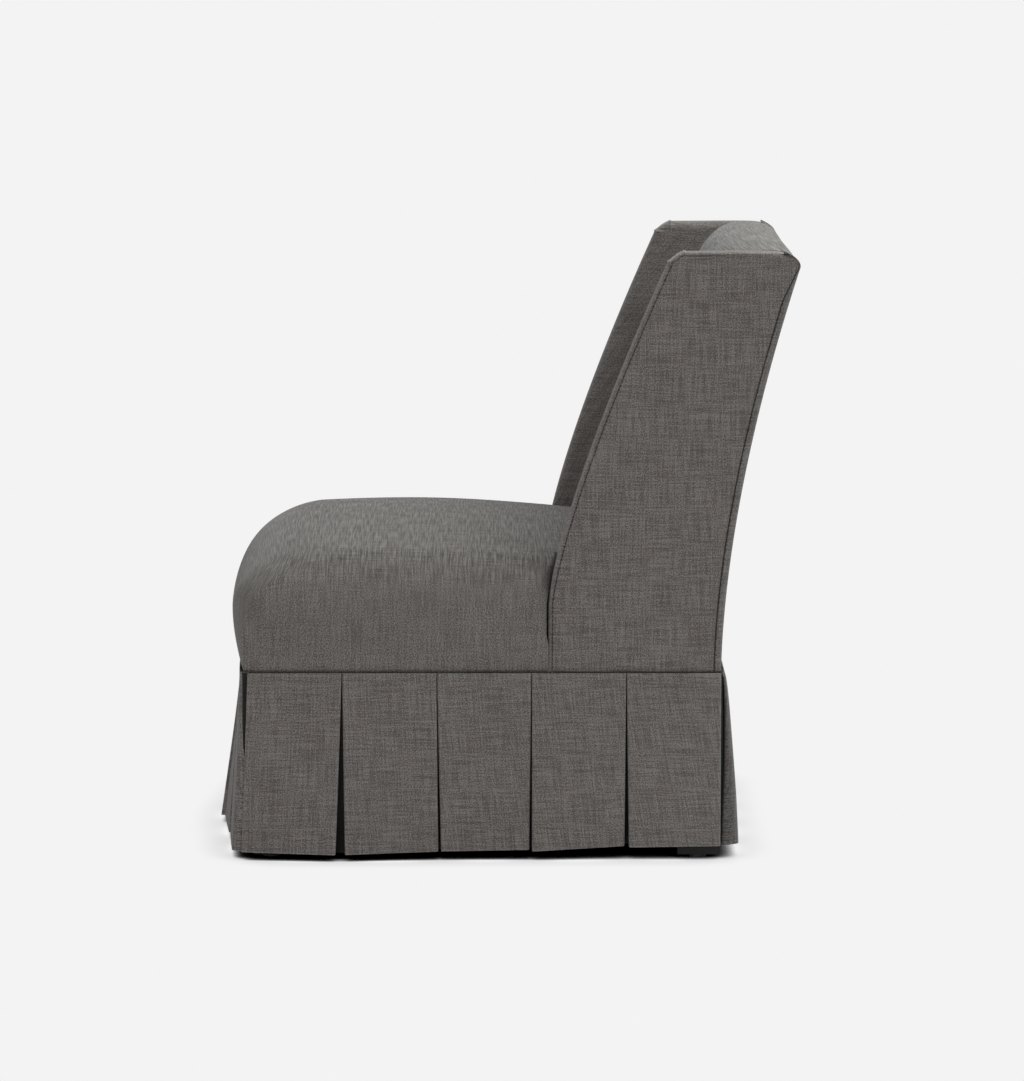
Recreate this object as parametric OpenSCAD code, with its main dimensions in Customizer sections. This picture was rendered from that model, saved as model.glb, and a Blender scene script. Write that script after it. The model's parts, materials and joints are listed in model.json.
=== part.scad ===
// Skirted accent chair with a tight crowned seat, low wings and a box pleated skirt.
// The chair faces -Y and stands on Z = 0. The origin lies at floor level, under the middle
// of the whole chair. The sitter's left is +X.

/* [Overall] */
// Width of the covered body, side to side
body_w = 660; // [600:1:720]
// Depth of the covered base at the skirt seam, front to back
body_d = 679; // [640:1:740]
// Height of the skirt seam above the floor
seam_z = 268; // [240:1:290]
// Height of the wings' top edge above the floor
wing_top_z = 865; // [820:1:920]
// How far the top of the back stands behind the base
back_reach = 115; // [80:1:140]

/* [Wings] */
// Thickness of a covered wing
wing_t = 44; // [40:1:60]
// Depth of a wing at its foot, front edge to back
wing_base_d = 245; // [215:1:280]
// How far the front edge leans back on its way up
wing_lean = 175; // [140:1:190]
// Height of the straight foot of the front edge, above the skirt seam
wing_foot_h = 96; // [60:1:130]
// Width of the wing cover that shows on the outer side
wing_lip_w = 5; // [4:0.5:10]
// Radius of the wing's top front corner
wing_corner_r = 24; // [10:1:28]
// Height over which the rear edge rounds forward to the top edge
rear_round_h = 26; // [15:1:40]
// How far the rear edge rounds forward at the top
rear_round_d = 30; // [15:1:32]
// Thickness of the foam on a wing's inner side
wing_pad_t = 14; // [8:1:15]

/* [Seat] */
// Height of the seat's crown above the skirt seam
seat_h = 195; // [180:1:230]
// Fall of the crown from the seat's middle to its sides
seat_crown = 30; // [10:1:40]
// Fall of the crown from the seat's middle to its front
seat_dip = 11; // [0:1:20]
// How far the seat's front stands out over the skirt seam
seat_overhang = 14; // [6:1:30]
// Bow of the seat's front and of the front skirt in plan
seat_bow = 10; // [0:1:20]
// Bulge of the seat's sides over the skirt seam
seat_side_bulge = 4; // [0:1:8]
// Height over which the seat's walls swell out
seat_swell_h = 88; // [60:1:95]
// Depth of the rounding along the seat's front edge
seat_front_round = 123; // [80:1:140]
// Depth of the rounding along the seat's sides
seat_side_round = 54; // [40:1:80]
// Radius of the seat's front corners in plan
seat_corner_r = 60; // [45:1:75]
// Radius of the seat's front corners at the skirt seam
seat_foot_r = 14; // [8:1:16]

/* [Back] */
// Thickness of the back, outside cover to inside cover
back_t = 118; // [110:1:140]
// Swell of the inside back's face at its middle
back_swell = 18; // [5:1:25]
// Height of the back's crown over the wings at the middle
back_crown = 16; // [8:1:30]
// Height over which the back's face rounds off to its crown
back_round = 105; // [70:1:120]
// How much thinner the back gets beside the wings' tops
back_tuck = 12; // [0:1:20]
// Width of the outside back cover that wraps round to the sides
back_wrap_w = 10; // [6:1:16]

/* [Skirt] */
// Height of the skirt's hem above the floor at the front
hem_z = 10; // [6:1:20]
// How much higher the hem is at the back
hem_rise = 10; // [0:1:15]
// Thickness of the lined skirt cloth
skirt_t = 1.3; // [1:0.1:1.6]
// Panels on each side of the skirt
side_panels = 5; // [4:1:6]
// Panels along the front and the back of the skirt
front_panels = 5; // [4:1:6]
// Length of each pleat's folded return
pleat_return = 36; // [25:1:45]
// How far the pleats spread inwards at the hem
pleat_spread = 7; // [3:1:10]
// Flare of the front skirt's hem at its middle
flare_front = 34; // [15:1:45]
// Flare of the back skirt's hem
flare_back = 18; // [10:1:30]
// Flare of the side skirts' hem at its widest pleat
flare_side = 25; // [10:1:30]
// Setback of the side skirts from the body's front corner
corner_set = 6; // [4:1:20]
// Opening of the widest pleat at the hem
pleat_open = 14; // [4:1:20]

/* [Timber frame] */
// Thickness of the seat rails
rail_t = 32; // [30:1:36]
// Height of the seat rails
rail_h = 100; // [80:1:115]
// How far the seat rails stand above the skirt seam
rail_rise = 36; // [30:1:42]
// Side of the square front legs
leg_w = 46; // [42:1:52]
// Thickness of the back posts
post_t = 28; // [24:1:29]
// Depth of the back posts, front to back
post_d = 58; // [50:1:62]
// Thickness of the back's cross rails
cross_t = 24; // [20:1:28]
// Height of the back's cross rails
cross_h = 60; // [50:1:70]
// Thickness of the wing boards
board_t = 22; // [18:1:22]
// Width of the wing boards
board_w = 42; // [36:1:46]
// Leg of the triangular corner blocks
block_leg = 70; // [60:1:80]
// Height of the corner blocks
block_h = 50; // [40:1:60]
// Diameter of the corner bolts
bolt_d = 8; // [6:1:10]
// Diameter of the corner bolts' heads
bolt_head_d = 16; // [13:1:18]
// Thickness of the corner bolts' heads
bolt_head_t = 5; // [4:1:7]
// Diameter of the floor glides
glide_d = 24; // [20:1:26]
// Thickness of the floor glides
glide_t = 5; // [4:1:8]
// Foam between the front rail and the seat cover
front_pad_t = 12; // [8:1:16]

/* [Springs and webbing] */
// Number of zigzag seat springs
spring_n = 4; // [3:1:5]
// Distance between the seat springs
spring_step = 125; // [110:1:135]
// Width of a zigzag spring
spring_w = 50; // [44:1:56]
// Thickness of the spring wire
wire_d = 3.8; // [3:0.1:4.2]
// Distance from one bar of a spring to the next
bar_step = 24; // [20:1:28]
// Width of a spring clip
clip_w = 22; // [18:1:26]
// Thickness of a spring clip's steel
clip_t = 1.2; // [1:0.1:1.6]
// Length of a spring clip
clip_l = 16; // [14:1:18]
// Diameter of the tie wires across the springs
tie_d = 2.4; // [2:0.1:3]
// Width of a webbing strap
web_w = 50; // [40:1:60]
// Thickness of a webbing strap
web_t = 1.4; // [1:0.1:2]
// Number of webbing straps across the back
web_n = 4; // [3:1:5]
// Thickness of the hessian over springs and webbing
hessian_t = 1.2; // [0.8:0.1:2]

/* [Covers] */
// Thickness of the upholstery cloth with its backing
cover_t = 2.5; // [2:0.1:3]
// Height of the tack strip under the skirt seam
strip_h = 13; // [10:1:16]
// Thickness of the dust cover under the seat
dust_t = 1; // [0.8:0.1:1.5]
// Clearance between neighbouring soft pieces
gap = 0.3; // [0.2:0.05:0.35]

/* [Hidden] */
$fn = 48;

cloth_colour = [0.38, 0.36, 0.345];
top_cloth_colour = [0.44, 0.425, 0.41];
lining_colour = [0.16, 0.15, 0.145];
timber_colour = [0.76, 0.62, 0.43];
foam_colour = [0.93, 0.89, 0.74];
hessian_colour = [0.62, 0.5, 0.33];
steel_colour = [0.55, 0.56, 0.58];

// Shapes of the curves that the sizes above scale
back_curve = 1.7;
wing_curve = 1.3;
curve_steps = 10;
turn_end = 84;
back_fullness = 2.4;
ridge_share = 0.65;
flare_curve = 1.15;
back_flare_curve = 0.6;
spread_curve = 1.3;
front_flare_shares = [0.2, 1, 0.2];
side_flare_shares = [0.8, 0.6, 0.4];

// Places along Y
heading_t = 3 * (skirt_t + gap);
front_reach = heading_t + seat_bow + flare_front;
total_d = front_reach + body_d + back_reach;
y_front = front_reach - total_d / 2;
y_back = y_front + body_d;
y_wing = y_back - wing_base_d;
wing_bend_z = seam_z + wing_foot_h;

// Frame faces behind the covers
skin = cover_t + gap;
frame_x = body_w / 2 - skin;
frame_y = y_front + cover_t + front_pad_t;
frame_back_y = y_back - skin;
post_y = frame_back_y - post_d;
post_top_z = wing_top_z - skin;
rail_top_z = seam_z + rail_rise;
rail_bottom_z = rail_top_z - rail_h;
wing_x = body_w / 2 - wing_t;

// Spring deck
front_clip_y = frame_y + rail_t / 2;
rear_clip_y = post_y + rail_t / 2;
spring_z = rail_top_z + clip_t + gap;
tie_z = spring_z + wire_d + gap + tie_d / 2;
deck_z = tie_z + tie_d / 2 + gap;
deck_top_z = deck_z + hessian_t;
hessian_x = frame_x - post_t - gap;

// Y of the back's sweep at height z, and of its outside, which rounds forward at the top
function sweep_y(z) =
    y_back + back_reach * pow(max(0, (z - seam_z) / (wing_top_z - seam_z)), back_curve);
function rear_y(z) =
    sweep_y(z) - rear_round_d * pow(max(0, 1 - (wing_top_z - z) / rear_round_h), 2);

// Y of a wing's front edge at height z
function edge_y(z) =
    y_wing + wing_lean * pow(max(0, (z - wing_bend_z) / (wing_top_z - wing_bend_z)), wing_curve);

// Y of the inside back's flat face at height z
function face_y(z) = sweep_y(z) - back_t;

// Heights from low to high in even steps, with closer ones where the top rounds forward
function even_heights(low, high, steps) = [for (i = [0:steps]) low + (high - low) * i / steps];
function heights(low, high) = let(foot = wing_top_z - rear_round_h) low < foot && high > foot
    ? concat(even_heights(low, foot, curve_steps - 1), [for (i = [1:3]) foot + (high - foot) * i / 3])
    : even_heights(low, high, curve_steps);

function reversed(list) = [for (i = [len(list) - 1:-1:0]) list[i]];

// An outline in Y and Z, drawn out along X from x by t
module slab(points, x, t) {
    translate([x, 0, 0]) rotate([90, 0, 90]) linear_extrude(t) polygon(points);
}

// The same piece on the sitter's left, at +X, or mirrored to the right
module on_side(side) {
    if (side > 0) children();
    else mirror([1, 0, 0]) children();
}

// A sheet or board that follows the curve of the back, set in from the outside cover
module curved_board(low, high, set_in, t, half_w) {
    z = heights(low, high);
    outer = [for (h = z) [sweep_y(h) - set_in, h]];
    inner = [for (h = z) [sweep_y(h) - set_in - t, h]];
    slab(concat(outer, reversed(inner)), -half_w, 2 * half_w);
}

// Seat frame

module seat_rail_blank(x, y, size_x, size_y) {
    translate([x, y, rail_bottom_z]) cube([size_x, size_y, rail_h]);
}

module front_rail() {
    color(timber_colour)
        seat_rail_blank(leg_w - frame_x, frame_y, 2 * (frame_x - leg_w), rail_t);
}

module rear_rail() {
    color(timber_colour)
        seat_rail_blank(post_t - frame_x, post_y, 2 * (frame_x - post_t), rail_t);
}

module side_rail(side) {
    y = frame_y + leg_w;
    color(timber_colour) on_side(side)
        seat_rail_blank(frame_x - rail_t, y, rail_t, post_y - y);
}

// The front leg's inner corner is where its corner bolt goes in
module front_leg(side) {
    color(timber_colour) on_side(side) difference() {
        translate([frame_x - leg_w, frame_y, glide_t])
            cube([leg_w, leg_w, rail_top_z - glide_t]);
        corner_rod(bolt_d + 2 * gap, bolt_head_t, bolt_reach + gap);
    }
}

module back_post(side) {
    z = concat([glide_t], heights(seam_z, post_top_z));
    back = [for (h = z) [rear_y(h) - skin, h]];
    front = [for (h = z) [sweep_y(h) - skin - post_d, h]];
    color(timber_colour) on_side(side) slab(concat(back, reversed(front)), frame_x - post_t, post_t);
}

// Corner blocks and the bolts through them

block_z = rail_bottom_z + (rail_h - block_h) / 2;
bolt_z = block_z + block_h / 2;
bolt_bite = leg_w / 2;

// Outline of the block behind a front leg, which is notched round the leg
function front_block_points() = let(x = frame_x, y = frame_y) [
    [x - rail_t, y + leg_w],
    [x - rail_t, y + rail_t + block_leg],
    [x - rail_t - block_leg, y + rail_t],
    [x - leg_w, y + rail_t],
    [x - leg_w, y + leg_w]
];

// Outline of the block between a side rail and the rear rail
function rear_block_points() = let(x = frame_x - rail_t, y = post_y) [
    [x, y], [x, y - block_leg], [x - block_leg, y]
];

// Middle of a front block's long face, and the way from there into the leg
bolt_x = frame_x - rail_t - block_leg / 2;
bolt_y = frame_y + rail_t + block_leg / 2;
bolt_reach = sqrt(2) * (block_leg / 2 + rail_t - leg_w) + bolt_bite;

// A round rod towards the chair's corner, from a little in front of the block's long face
module corner_rod(d, start, reach) {
    translate([bolt_x, bolt_y, bolt_z]) rotate([0, 0, -45]) rotate([0, 90, 0])
        translate([0, 0, -start]) cylinder(d = d, h = reach + start);
}

module corner_blocks() {
    color(timber_colour) for (side = [-1, 1]) on_side(side) {
        difference() {
            translate([0, 0, block_z]) linear_extrude(block_h) polygon(front_block_points());
            corner_rod(bolt_d + 2 * gap, bolt_head_t, bolt_reach);
        }
        translate([0, 0, block_z]) linear_extrude(block_h) polygon(rear_block_points());
    }
}

module corner_bolts() {
    color(steel_colour) for (side = [-1, 1]) on_side(side) {
        corner_rod(bolt_d, 0, bolt_reach);
        translate([bolt_x, bolt_y, bolt_z]) rotate([0, 0, -45]) rotate([0, -90, 0])
            cylinder(d = bolt_head_d, h = bolt_head_t);
    }
}

module glides() {
    color(lining_colour) for (side = [-1, 1]) on_side(side) {
        translate([frame_x - leg_w / 2, frame_y + leg_w / 2, 0]) cylinder(d = glide_d, h = glide_t);
        translate([frame_x - post_t / 2, post_y + post_d / 2, 0]) cylinder(d = glide_d, h = glide_t);
    }
}

// Back frame

cross_x = frame_x - post_t;
cross_set_in = skin + post_d - cross_t;
top_rail_z = post_top_z - cross_h - skin;
middle_rail_z = (rail_top_z + top_rail_z) / 2;
lower_rail_z = rail_top_z + cross_h / 2;

module top_back_rail() {
    color(timber_colour)
        curved_board(top_rail_z, top_rail_z + cross_h - skin, cross_set_in, cross_t, cross_x);
}

module middle_back_rail() {
    color(timber_colour)
        curved_board(middle_rail_z, middle_rail_z + cross_h, cross_set_in, cross_t, cross_x);
}

module lower_back_rail() {
    color(timber_colour)
        curved_board(lower_rail_z, lower_rail_z + cross_h, cross_set_in, cross_t, cross_x);
}

// Wing frames

module wing_stile(side) {
    z = heights(rail_top_z, post_top_z);
    front = [for (h = z) [edge_y(h) + skin, h]];
    back = [for (h = z) [edge_y(h) + skin + board_w, h]];
    color(timber_colour) on_side(side) slab(concat(back, reversed(front)), frame_x - board_t, board_t);
}

module wing_top_board(side) {
    z = heights(post_top_z - board_w, post_top_z);
    front = [for (h = z) [edge_y(h) + skin + board_w, h]];
    back = [for (h = z) [sweep_y(h) - skin - post_d, h]];
    color(timber_colour) on_side(side) slab(concat(back, reversed(front)), frame_x - board_t, board_t);
}

// Seat springs

bend_steps = 4;
bars = floor((rear_clip_y - front_clip_y) / bar_step);
bar_pitch = (rear_clip_y - front_clip_y) / bars;

// One edge of the zigzag wire: hand is 1 for the edge on its right, -1 for the one on its left
function wire_edge(hand) = let(r = bar_pitch / 2, half = spring_w / 2 - r) concat(
    [[-half, front_clip_y - hand * wire_d / 2]],
    [for (k = [0:bars - 1], i = [0:bend_steps])
        let(turn = k % 2 == 0 ? 1 : -1, a = -90 + 180 * i / bend_steps, rho = r + hand * turn * wire_d / 2)
        [turn * (half + rho * cos(a)), front_clip_y + r + k * bar_pitch + rho * sin(a)]],
    let(turn = bars % 2 == 0 ? 1 : -1)
    [[turn * half, rear_clip_y - hand * turn * wire_d / 2]]
);

module each_spring() {
    for (i = [0:spring_n - 1]) translate([(i - (spring_n - 1) / 2) * spring_step, 0, 0]) children();
}

module seat_springs() {
    color(steel_colour) each_spring() translate([0, 0, spring_z]) linear_extrude(wire_d)
        polygon(concat(wire_edge(1), reversed(wire_edge(-1))));
}

// Outline of a clip folded round a spring's end bar at y. way is 1 where the clip opens to +Y.
function clip_points(y, way) = let(
    shut = y - way * (wire_d / 2 + gap), low = spring_z - gap, high = spring_z + wire_d + gap
) [
    [shut - way * clip_t, rail_top_z], [shut + way * clip_l, rail_top_z], [shut + way * clip_l, low],
    [shut, low], [shut, high], [y + way * wire_d, high], [y + way * wire_d, high + clip_t],
    [shut - way * clip_t, high + clip_t]
];

module spring_clips() {
    color(steel_colour) each_spring() {
        slab(clip_points(front_clip_y, 1), -clip_w / 2, clip_w);
        slab(clip_points(rear_clip_y, -1), -clip_w / 2, clip_w);
    }
}

module spring_tie_wires() {
    color(steel_colour) for (share = [1 / 3, 2 / 3])
        translate([-tie_x, front_clip_y + share * (rear_clip_y - front_clip_y), tie_z])
        rotate([0, 90, 0]) cylinder(d = tie_d, h = 2 * tie_x);
}

// The hessian is folded down at its edges and tacked to the tops of the rails
tie_x = hessian_x - hessian_t - gap;
hessian_front_y = frame_y + hessian_t;
hessian_back_y = post_y + rail_t - hessian_t;

module seat_hessian() {
    color(hessian_colour) difference() {
        translate([-hessian_x, hessian_front_y, rail_top_z])
            cube([2 * hessian_x, hessian_back_y - hessian_front_y, deck_top_z - rail_top_z]);
        translate([-hessian_x + hessian_t, hessian_front_y + hessian_t, rail_top_z - hessian_t]) cube([
            2 * (hessian_x - hessian_t),
            hessian_back_y - hessian_front_y - 2 * hessian_t,
            deck_z - rail_top_z + hessian_t
        ]);
    }
}

// Seat

corner_steps = 4;
edge_steps = 4;
round_steps = 6;
top_shares = [0.75, 0.5, 0.25];
swell_z = seam_z + seat_swell_h;
seat_middle_y = (y_front + y_wing) / 2;
seat_back_y = face_y(seam_z + seat_h);

// One row of the seat's surface: how far it is round the edge in degrees, how near the middle of the
// seat it is drawn, and its share of the wall's height
seat_rows = concat(
    [for (share = [0, 0.5, 1]) [0, 0, share]],
    [for (i = [1:round_steps]) [turn_end * i / round_steps, 0, 1]],
    [for (share = top_shares) [turn_end, 1 - share, 1]]
);

// Height of the crown over a place in plan
function crown_z(x, y) = seam_z + seat_h - seat_crown * pow(x / (body_w / 2), 2)
    - seat_dip * pow((y - seat_middle_y) / (seat_middle_y - y_front), 2);

// Height of a row's point: up the wall, then round the edge to meet the crown
function row_z(row, x, y) = row[2] < 1 ? seam_z + row[2] * seat_swell_h
    : swell_z + (crown_z(x, y) - swell_z) * sin(row[0]) / sin(turn_end);

// Right half of the seat's outline at a row, inset by t, from the middle of the front to that of the rear
function seat_half(row, t) = let(
    swell = sin(90 * min(1, row[2])),
    inset = 1 - cos(row[0]),
    a = body_w / 2 + seat_side_bulge * swell - inset * seat_side_round - t,
    b = wing_x - gap - inset * seat_side_round / 2 - t,
    front = y_front - seat_overhang * swell + inset * seat_front_round + t,
    step = edge_y(row_z(row, a, y_wing)) - skin - t,
    r = seat_foot_r + (seat_corner_r - seat_foot_r) * max(0, min(1, row[2]))
) concat(
    [for (i = [0:edge_steps]) let(x = (a - r) * i / edge_steps) [x, front - bow(x, a)]],
    [for (i = [1:corner_steps]) let(c = 90 * i / corner_steps, x = a - r + r * sin(c))
        [x, front + r - r * cos(c) - bow(x, a)]],
    [for (i = [1:edge_steps]) [a, front + r + (step - front - r) * i / edge_steps]],
    [[b, step + gap], [b, (step + rest_y(row, b, t)) / 2]],
    [for (share = [1, 0.5, 0]) [b * share, rest_y(row, b * share, t)]]
);

// Where the seat's rear edge rests on the back's face
function rest_y(row, x, t) = face_y(row_z(row, x, seat_back_y)) - skin - t;

// How far the seat's front bows out at x, on a row that is 2 * a wide
function bow(x, a) = seat_bow * (1 - pow(x / a, 2));

// The whole outline, drawn in towards the seat's middle
function seat_ring(row, t) = let(half = seat_half(row, t), n = len(half), middle = seat_middle_y, share = 1 - row[1])
    [for (p = concat(half, [for (i = [n - 2:-1:1]) [-half[i][0], half[i][1]]]))
        let(x = p[0] * share, y = middle + (p[1] - middle) * share)
            [x, y, row_z(row, x, y) - t * (row[0] > 0 ? 1 : 0)]];

// Triangles between two rows of n points that start at a and b
function band(a, b, n, loop) = [for (i = [0:n - (loop ? 1 : 2)]) let(j = (i + 1) % n)
    each [[a + i, b + j, a + j], [a + i, b + i, b + j]]];
function turned(faces) = [for (f = faces) reversed(f)];
function joined(lists) = [for (list = lists) each list];

// The crowned form, closed below at foot_z. t sets its surface in from the cover's outside.
module seat_form(t, foot_z) {
    foot = (foot_z - seam_z) / seat_swell_h;
    rows = concat([[0, 0, foot]], [for (i = [1:len(seat_rows) - 1]) seat_rows[i]]);
    rings = [for (row = rows) seat_ring(row, t)];
    n = len(rings[0]);
    count = len(rings);
    points = concat(joined(rings), [[0, seat_middle_y, seam_z + seat_h - t]]);
    polyhedron(points, concat(
        joined([for (k = [0:count - 2]) band(k * n, (k + 1) * n, n, true)]),
        [for (i = [0:n - 1]) [(count - 1) * n + i, count * n, (count - 1) * n + (i + 1) % n]],
        [[for (i = [0:n - 1]) i]]
    ));
}

// Room that the seat frame and its deck take out of the seat's soft forms
module deck_room(half_w) {
    translate([-half_w, frame_y - gap, rail_bottom_z])
        cube([2 * half_w, body_d, deck_top_z + gap - rail_bottom_z]);
}

module seat_cover() {
    color(top_cloth_colour) difference() {
        seat_form(0, seam_z);
        seat_form(cover_t, seam_z - cover_t);
        deck_room(frame_x + gap / 2);
    }
}

module seat_foam() {
    color(foam_colour) difference() {
        seat_form(skin, seam_z + gap);
        deck_room(body_w);
    }
}

// Back

web_set_in = skin + post_d + gap;
hessian_set_in = web_set_in + web_t + gap;
back_half_w = wing_x - gap;
back_foot_z = deck_top_z + 2 * gap;
back_steps = 8;
arch_steps = 6;
stations = 12;
arch_z = wing_top_z - back_round;
swell_foot_z = seam_z + seat_h;
back_heights = [for (i = [0:back_steps]) back_foot_z + (arch_z - back_foot_z) * i / back_steps];
back_end_z = wing_top_z - rear_round_h;

// How full the crown is at station k across the back, 0 at the wings and 1 in the middle
function fullness(k) = 1 - pow(abs(2 * k / stations - 1), back_fullness);

// Share of the way from the seat up to the foot of the crown's rounding
function rise_share(z) = max(0, (z - swell_foot_z) / (arch_z - swell_foot_z));

// Face and crown of the inside back at fullness c, set in by t, from its foot up and over to the rear
function back_profile(c, t) = let(
    top_z = wing_top_z + back_crown * c - t,
    face = [for (z = back_heights) let(s = rise_share(z))
        [face_y(z) + t - back_swell * c * sin(180 * s) + back_tuck * (1 - c) * s, z]],
    front = face[back_steps],
    end_y = rear_y(back_end_z) - skin - t,
    ridge_y = front[0] + (end_y - front[0]) * ridge_share
) concat(
    face,
    [for (i = [1:arch_steps]) let(a = 90 * i / arch_steps)
        [ridge_y - (ridge_y - front[0]) * cos(a), arch_z + (top_z - arch_z) * sin(a)]],
    [for (i = [1:arch_steps - 1]) let(a = 90 * i / (arch_steps - 1))
        [ridge_y + (end_y - ridge_y) * sin(a), back_end_z + (top_z - back_end_z) * cos(a)]]
);

function station_x(k, t) = (back_half_w - t) * (2 * k / stations - 1);

// Faces of a sheet of rows by cols points with its inner side behind it
function sheet_faces(rows, cols) = let(back = rows * cols) concat(
    joined([for (r = [0:rows - 2]) band(r * cols, (r + 1) * cols, cols, false)]),
    turned(joined([for (r = [0:rows - 2]) band(back + r * cols, back + (r + 1) * cols, cols, false)])),
    band(back, 0, cols, false),
    band((rows - 1) * cols, back + (rows - 1) * cols, cols, false),
    [for (r = [0:rows - 2]) let(p = r * cols, q = p + cols) each [[p, back + q, q], [p, back + p, back + q]]],
    [for (r = [0:rows - 2]) let(p = r * cols + cols - 1, q = p + cols)
        each [[p, q, back + q], [p, back + q, back + p]]]
);

module inside_back_cover() {
    outer = [for (k = [0:stations]) [for (p = back_profile(fullness(k), 0)) [station_x(k, 0), p[0], p[1]]]];
    inner = [for (k = [0:stations])
        [for (p = back_profile(fullness(k), cover_t)) [station_x(k, 0), p[0], p[1]]]];
    color(top_cloth_colour)
        polyhedron(concat(joined(outer), joined(inner)),
            turned(sheet_faces(stations + 1, len(outer[0]))));
}

// The foam's hidden side lies on the hessian and over the top rail
module back_foam() {
    rail_z = top_rail_z + cross_h - skin + gap;
    behind = hessian_set_in + hessian_t + gap;
    z = heights(back_foot_z, rail_z);
    hidden = concat([[sweep_y(rail_z) - cross_set_in, rail_z]],
        reversed([for (h = z) [sweep_y(h) - behind, h]]));
    loops = [for (k = [0:stations])
        [for (p = concat(back_profile(fullness(k), skin), hidden)) [station_x(k, gap), p[0], p[1]]]];
    n = len(loops[0]);
    color(foam_colour) polyhedron(joined(loops), turned(concat(
        joined([for (k = [0:stations - 1]) band(k * n, (k + 1) * n, n, true)]),
        [[for (i = [0:n - 1]) i]],
        [[for (i = [n - 1:-1:0]) stations * n + i]]
    )));
}

module back_webbing() {
    low = lower_rail_z + cross_h / 2;
    step = (top_rail_z - low) / web_n;
    color(hessian_colour) for (i = [0:web_n - 1])
        curved_board(low + i * step, low + i * step + web_w, web_set_in, web_t, frame_x - gap);
}

module back_hessian() {
    color(hessian_colour)
        curved_board(lower_rail_z, top_rail_z + cross_h / 2, hessian_set_in, hessian_t, wing_x - gap);
}

module outside_back_cover() {
    top_z = wing_top_z - cover_t - gap;
    z = heights(seam_z, top_z);
    function strip(w) = concat([for (h = z) [rear_y(h), h]], reversed([for (h = z) [rear_y(h) - w, h]]));
    color(cloth_colour) {
        slab(strip(cover_t), -body_w / 2, body_w);
        for (side = [-1, 1]) on_side(side) slab(strip(back_wrap_w), body_w / 2 - cover_t, cover_t);
    }
}

// Wings

corner_turn = 90 - atan(wing_curve * wing_lean / (wing_top_z - wing_bend_z));

// Front edge and top edge of a wing, drawn in by t, from foot_z up and back to the rear less rear_t
function wing_edge(t, foot_z, rear_t) = let(
    r = wing_corner_r - t / 2,
    top = wing_top_z - t,
    low = top - r + r * cos(corner_turn),
    middle = edge_y(low) + t + r * sin(corner_turn)
) concat(
    [for (z = heights(foot_z, low)) [edge_y(z) + t, z]],
    [for (i = [1:corner_steps]) let(a = corner_turn * (1 - i / corner_steps))
        [middle - r * sin(a), top - r + r * cos(a)]],
    [[wing_rear(min(top, post_top_z), rear_t), top]]
);

// Rear edge of a wing's piece: one that ends inside the back follows the sweep, without its rounding
function wing_rear(z, rear_t) = (rear_t > post_d ? sweep_y(z) : rear_y(z)) - rear_t;

// A whole wing outline, with its rear edge set in by rear_t
function wing_outline(t, foot_z, rear_t) = concat(
    wing_edge(t, foot_z, rear_t),
    reversed([for (z = heights(foot_z, wing_top_z - t - board_w / curve_steps)) [wing_rear(z, rear_t), z]])
);

wing_foot_z = deck_top_z + gap;

module wing_outer_panel(side) {
    color(cloth_colour) on_side(side) slab(
        reversed(wing_outline(wing_lip_w + gap, seam_z, back_wrap_w + gap)),
        body_w / 2 - cover_t, cover_t
    );
}

// The wing cover lies over the pad and turns round the front and top edges onto the outer side
module wing_cover(side) {
    inside = wing_x + cover_t;
    tuck_t = hessian_set_in + hessian_t + gap;
    color(cloth_colour) on_side(side) {
        slab(reversed(wing_outline(0, wing_foot_z, tuck_t)), wing_x, cover_t);
        slab(reversed(concat(
            wing_edge(0, wing_foot_z, skin + gap), reversed(wing_edge(cover_t, wing_foot_z, skin + gap))
        )), inside, body_w / 2 - inside);
        slab(reversed(concat(
            wing_edge(0, seam_z, back_wrap_w + gap), reversed(wing_edge(wing_lip_w, seam_z, back_wrap_w + gap))
        )), body_w / 2 - cover_t, cover_t);
    }
}

module wing_pad(side) {
    z = heights(wing_foot_z, post_top_z);
    front = [for (h = z) [edge_y(h) + skin, h]];
    back = [for (h = z) [sweep_y(h) - hessian_set_in - hessian_t - gap, h]];
    x = frame_x - board_t - gap - wing_pad_t;
    color(foam_colour) on_side(side) slab(concat(back, reversed(front)), x, wing_pad_t);
}

// Dust cover and skirt

module dust_cover() {
    color(lining_colour) difference() {
        translate([-frame_x, frame_y, rail_bottom_z - dust_t])
            cube([2 * frame_x, frame_back_y - frame_y, dust_t]);
        for (side = [-1, 1]) on_side(side) {
            translate([frame_x - leg_w - gap, frame_y - gap, rail_bottom_z - 2 * dust_t])
                cube([leg_w + 2 * gap, leg_w + 2 * gap, 3 * dust_t]);
            translate([frame_x - post_t - gap, post_y - gap, rail_bottom_z - 2 * dust_t])
                cube([post_t + 2 * gap, post_d + 2 * gap, 3 * dust_t]);
        }
    }
}

module skirt_tack_strips() {
    strip_z = seam_z - gap - strip_h;
    color(hessian_colour) {
        for (side = [-1, 1]) on_side(side)
            translate([frame_x, frame_y, strip_z]) cube([cover_t, frame_back_y - frame_y, strip_h]);
        translate([-frame_x, frame_y - cover_t, strip_z]) cube([2 * frame_x, cover_t, strip_h]);
        translate([-frame_x, frame_back_y, strip_z]) cube([2 * frame_x, cover_t, strip_h]);
    }
}

// A skirt is drawn flat, with s along it and n out from it, and then set round the body.
// Its rows go from the seam, at drop 0, to the hem, at drop 1.
drops = [0, 0.35, 0.7, 1];
layer = skirt_t + gap;
open_shares = [1, 0.35, 0.35, 0.5, 0.35];
function pleat_opening(i) = pleat_open * open_shares[i % len(open_shares)];

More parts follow.
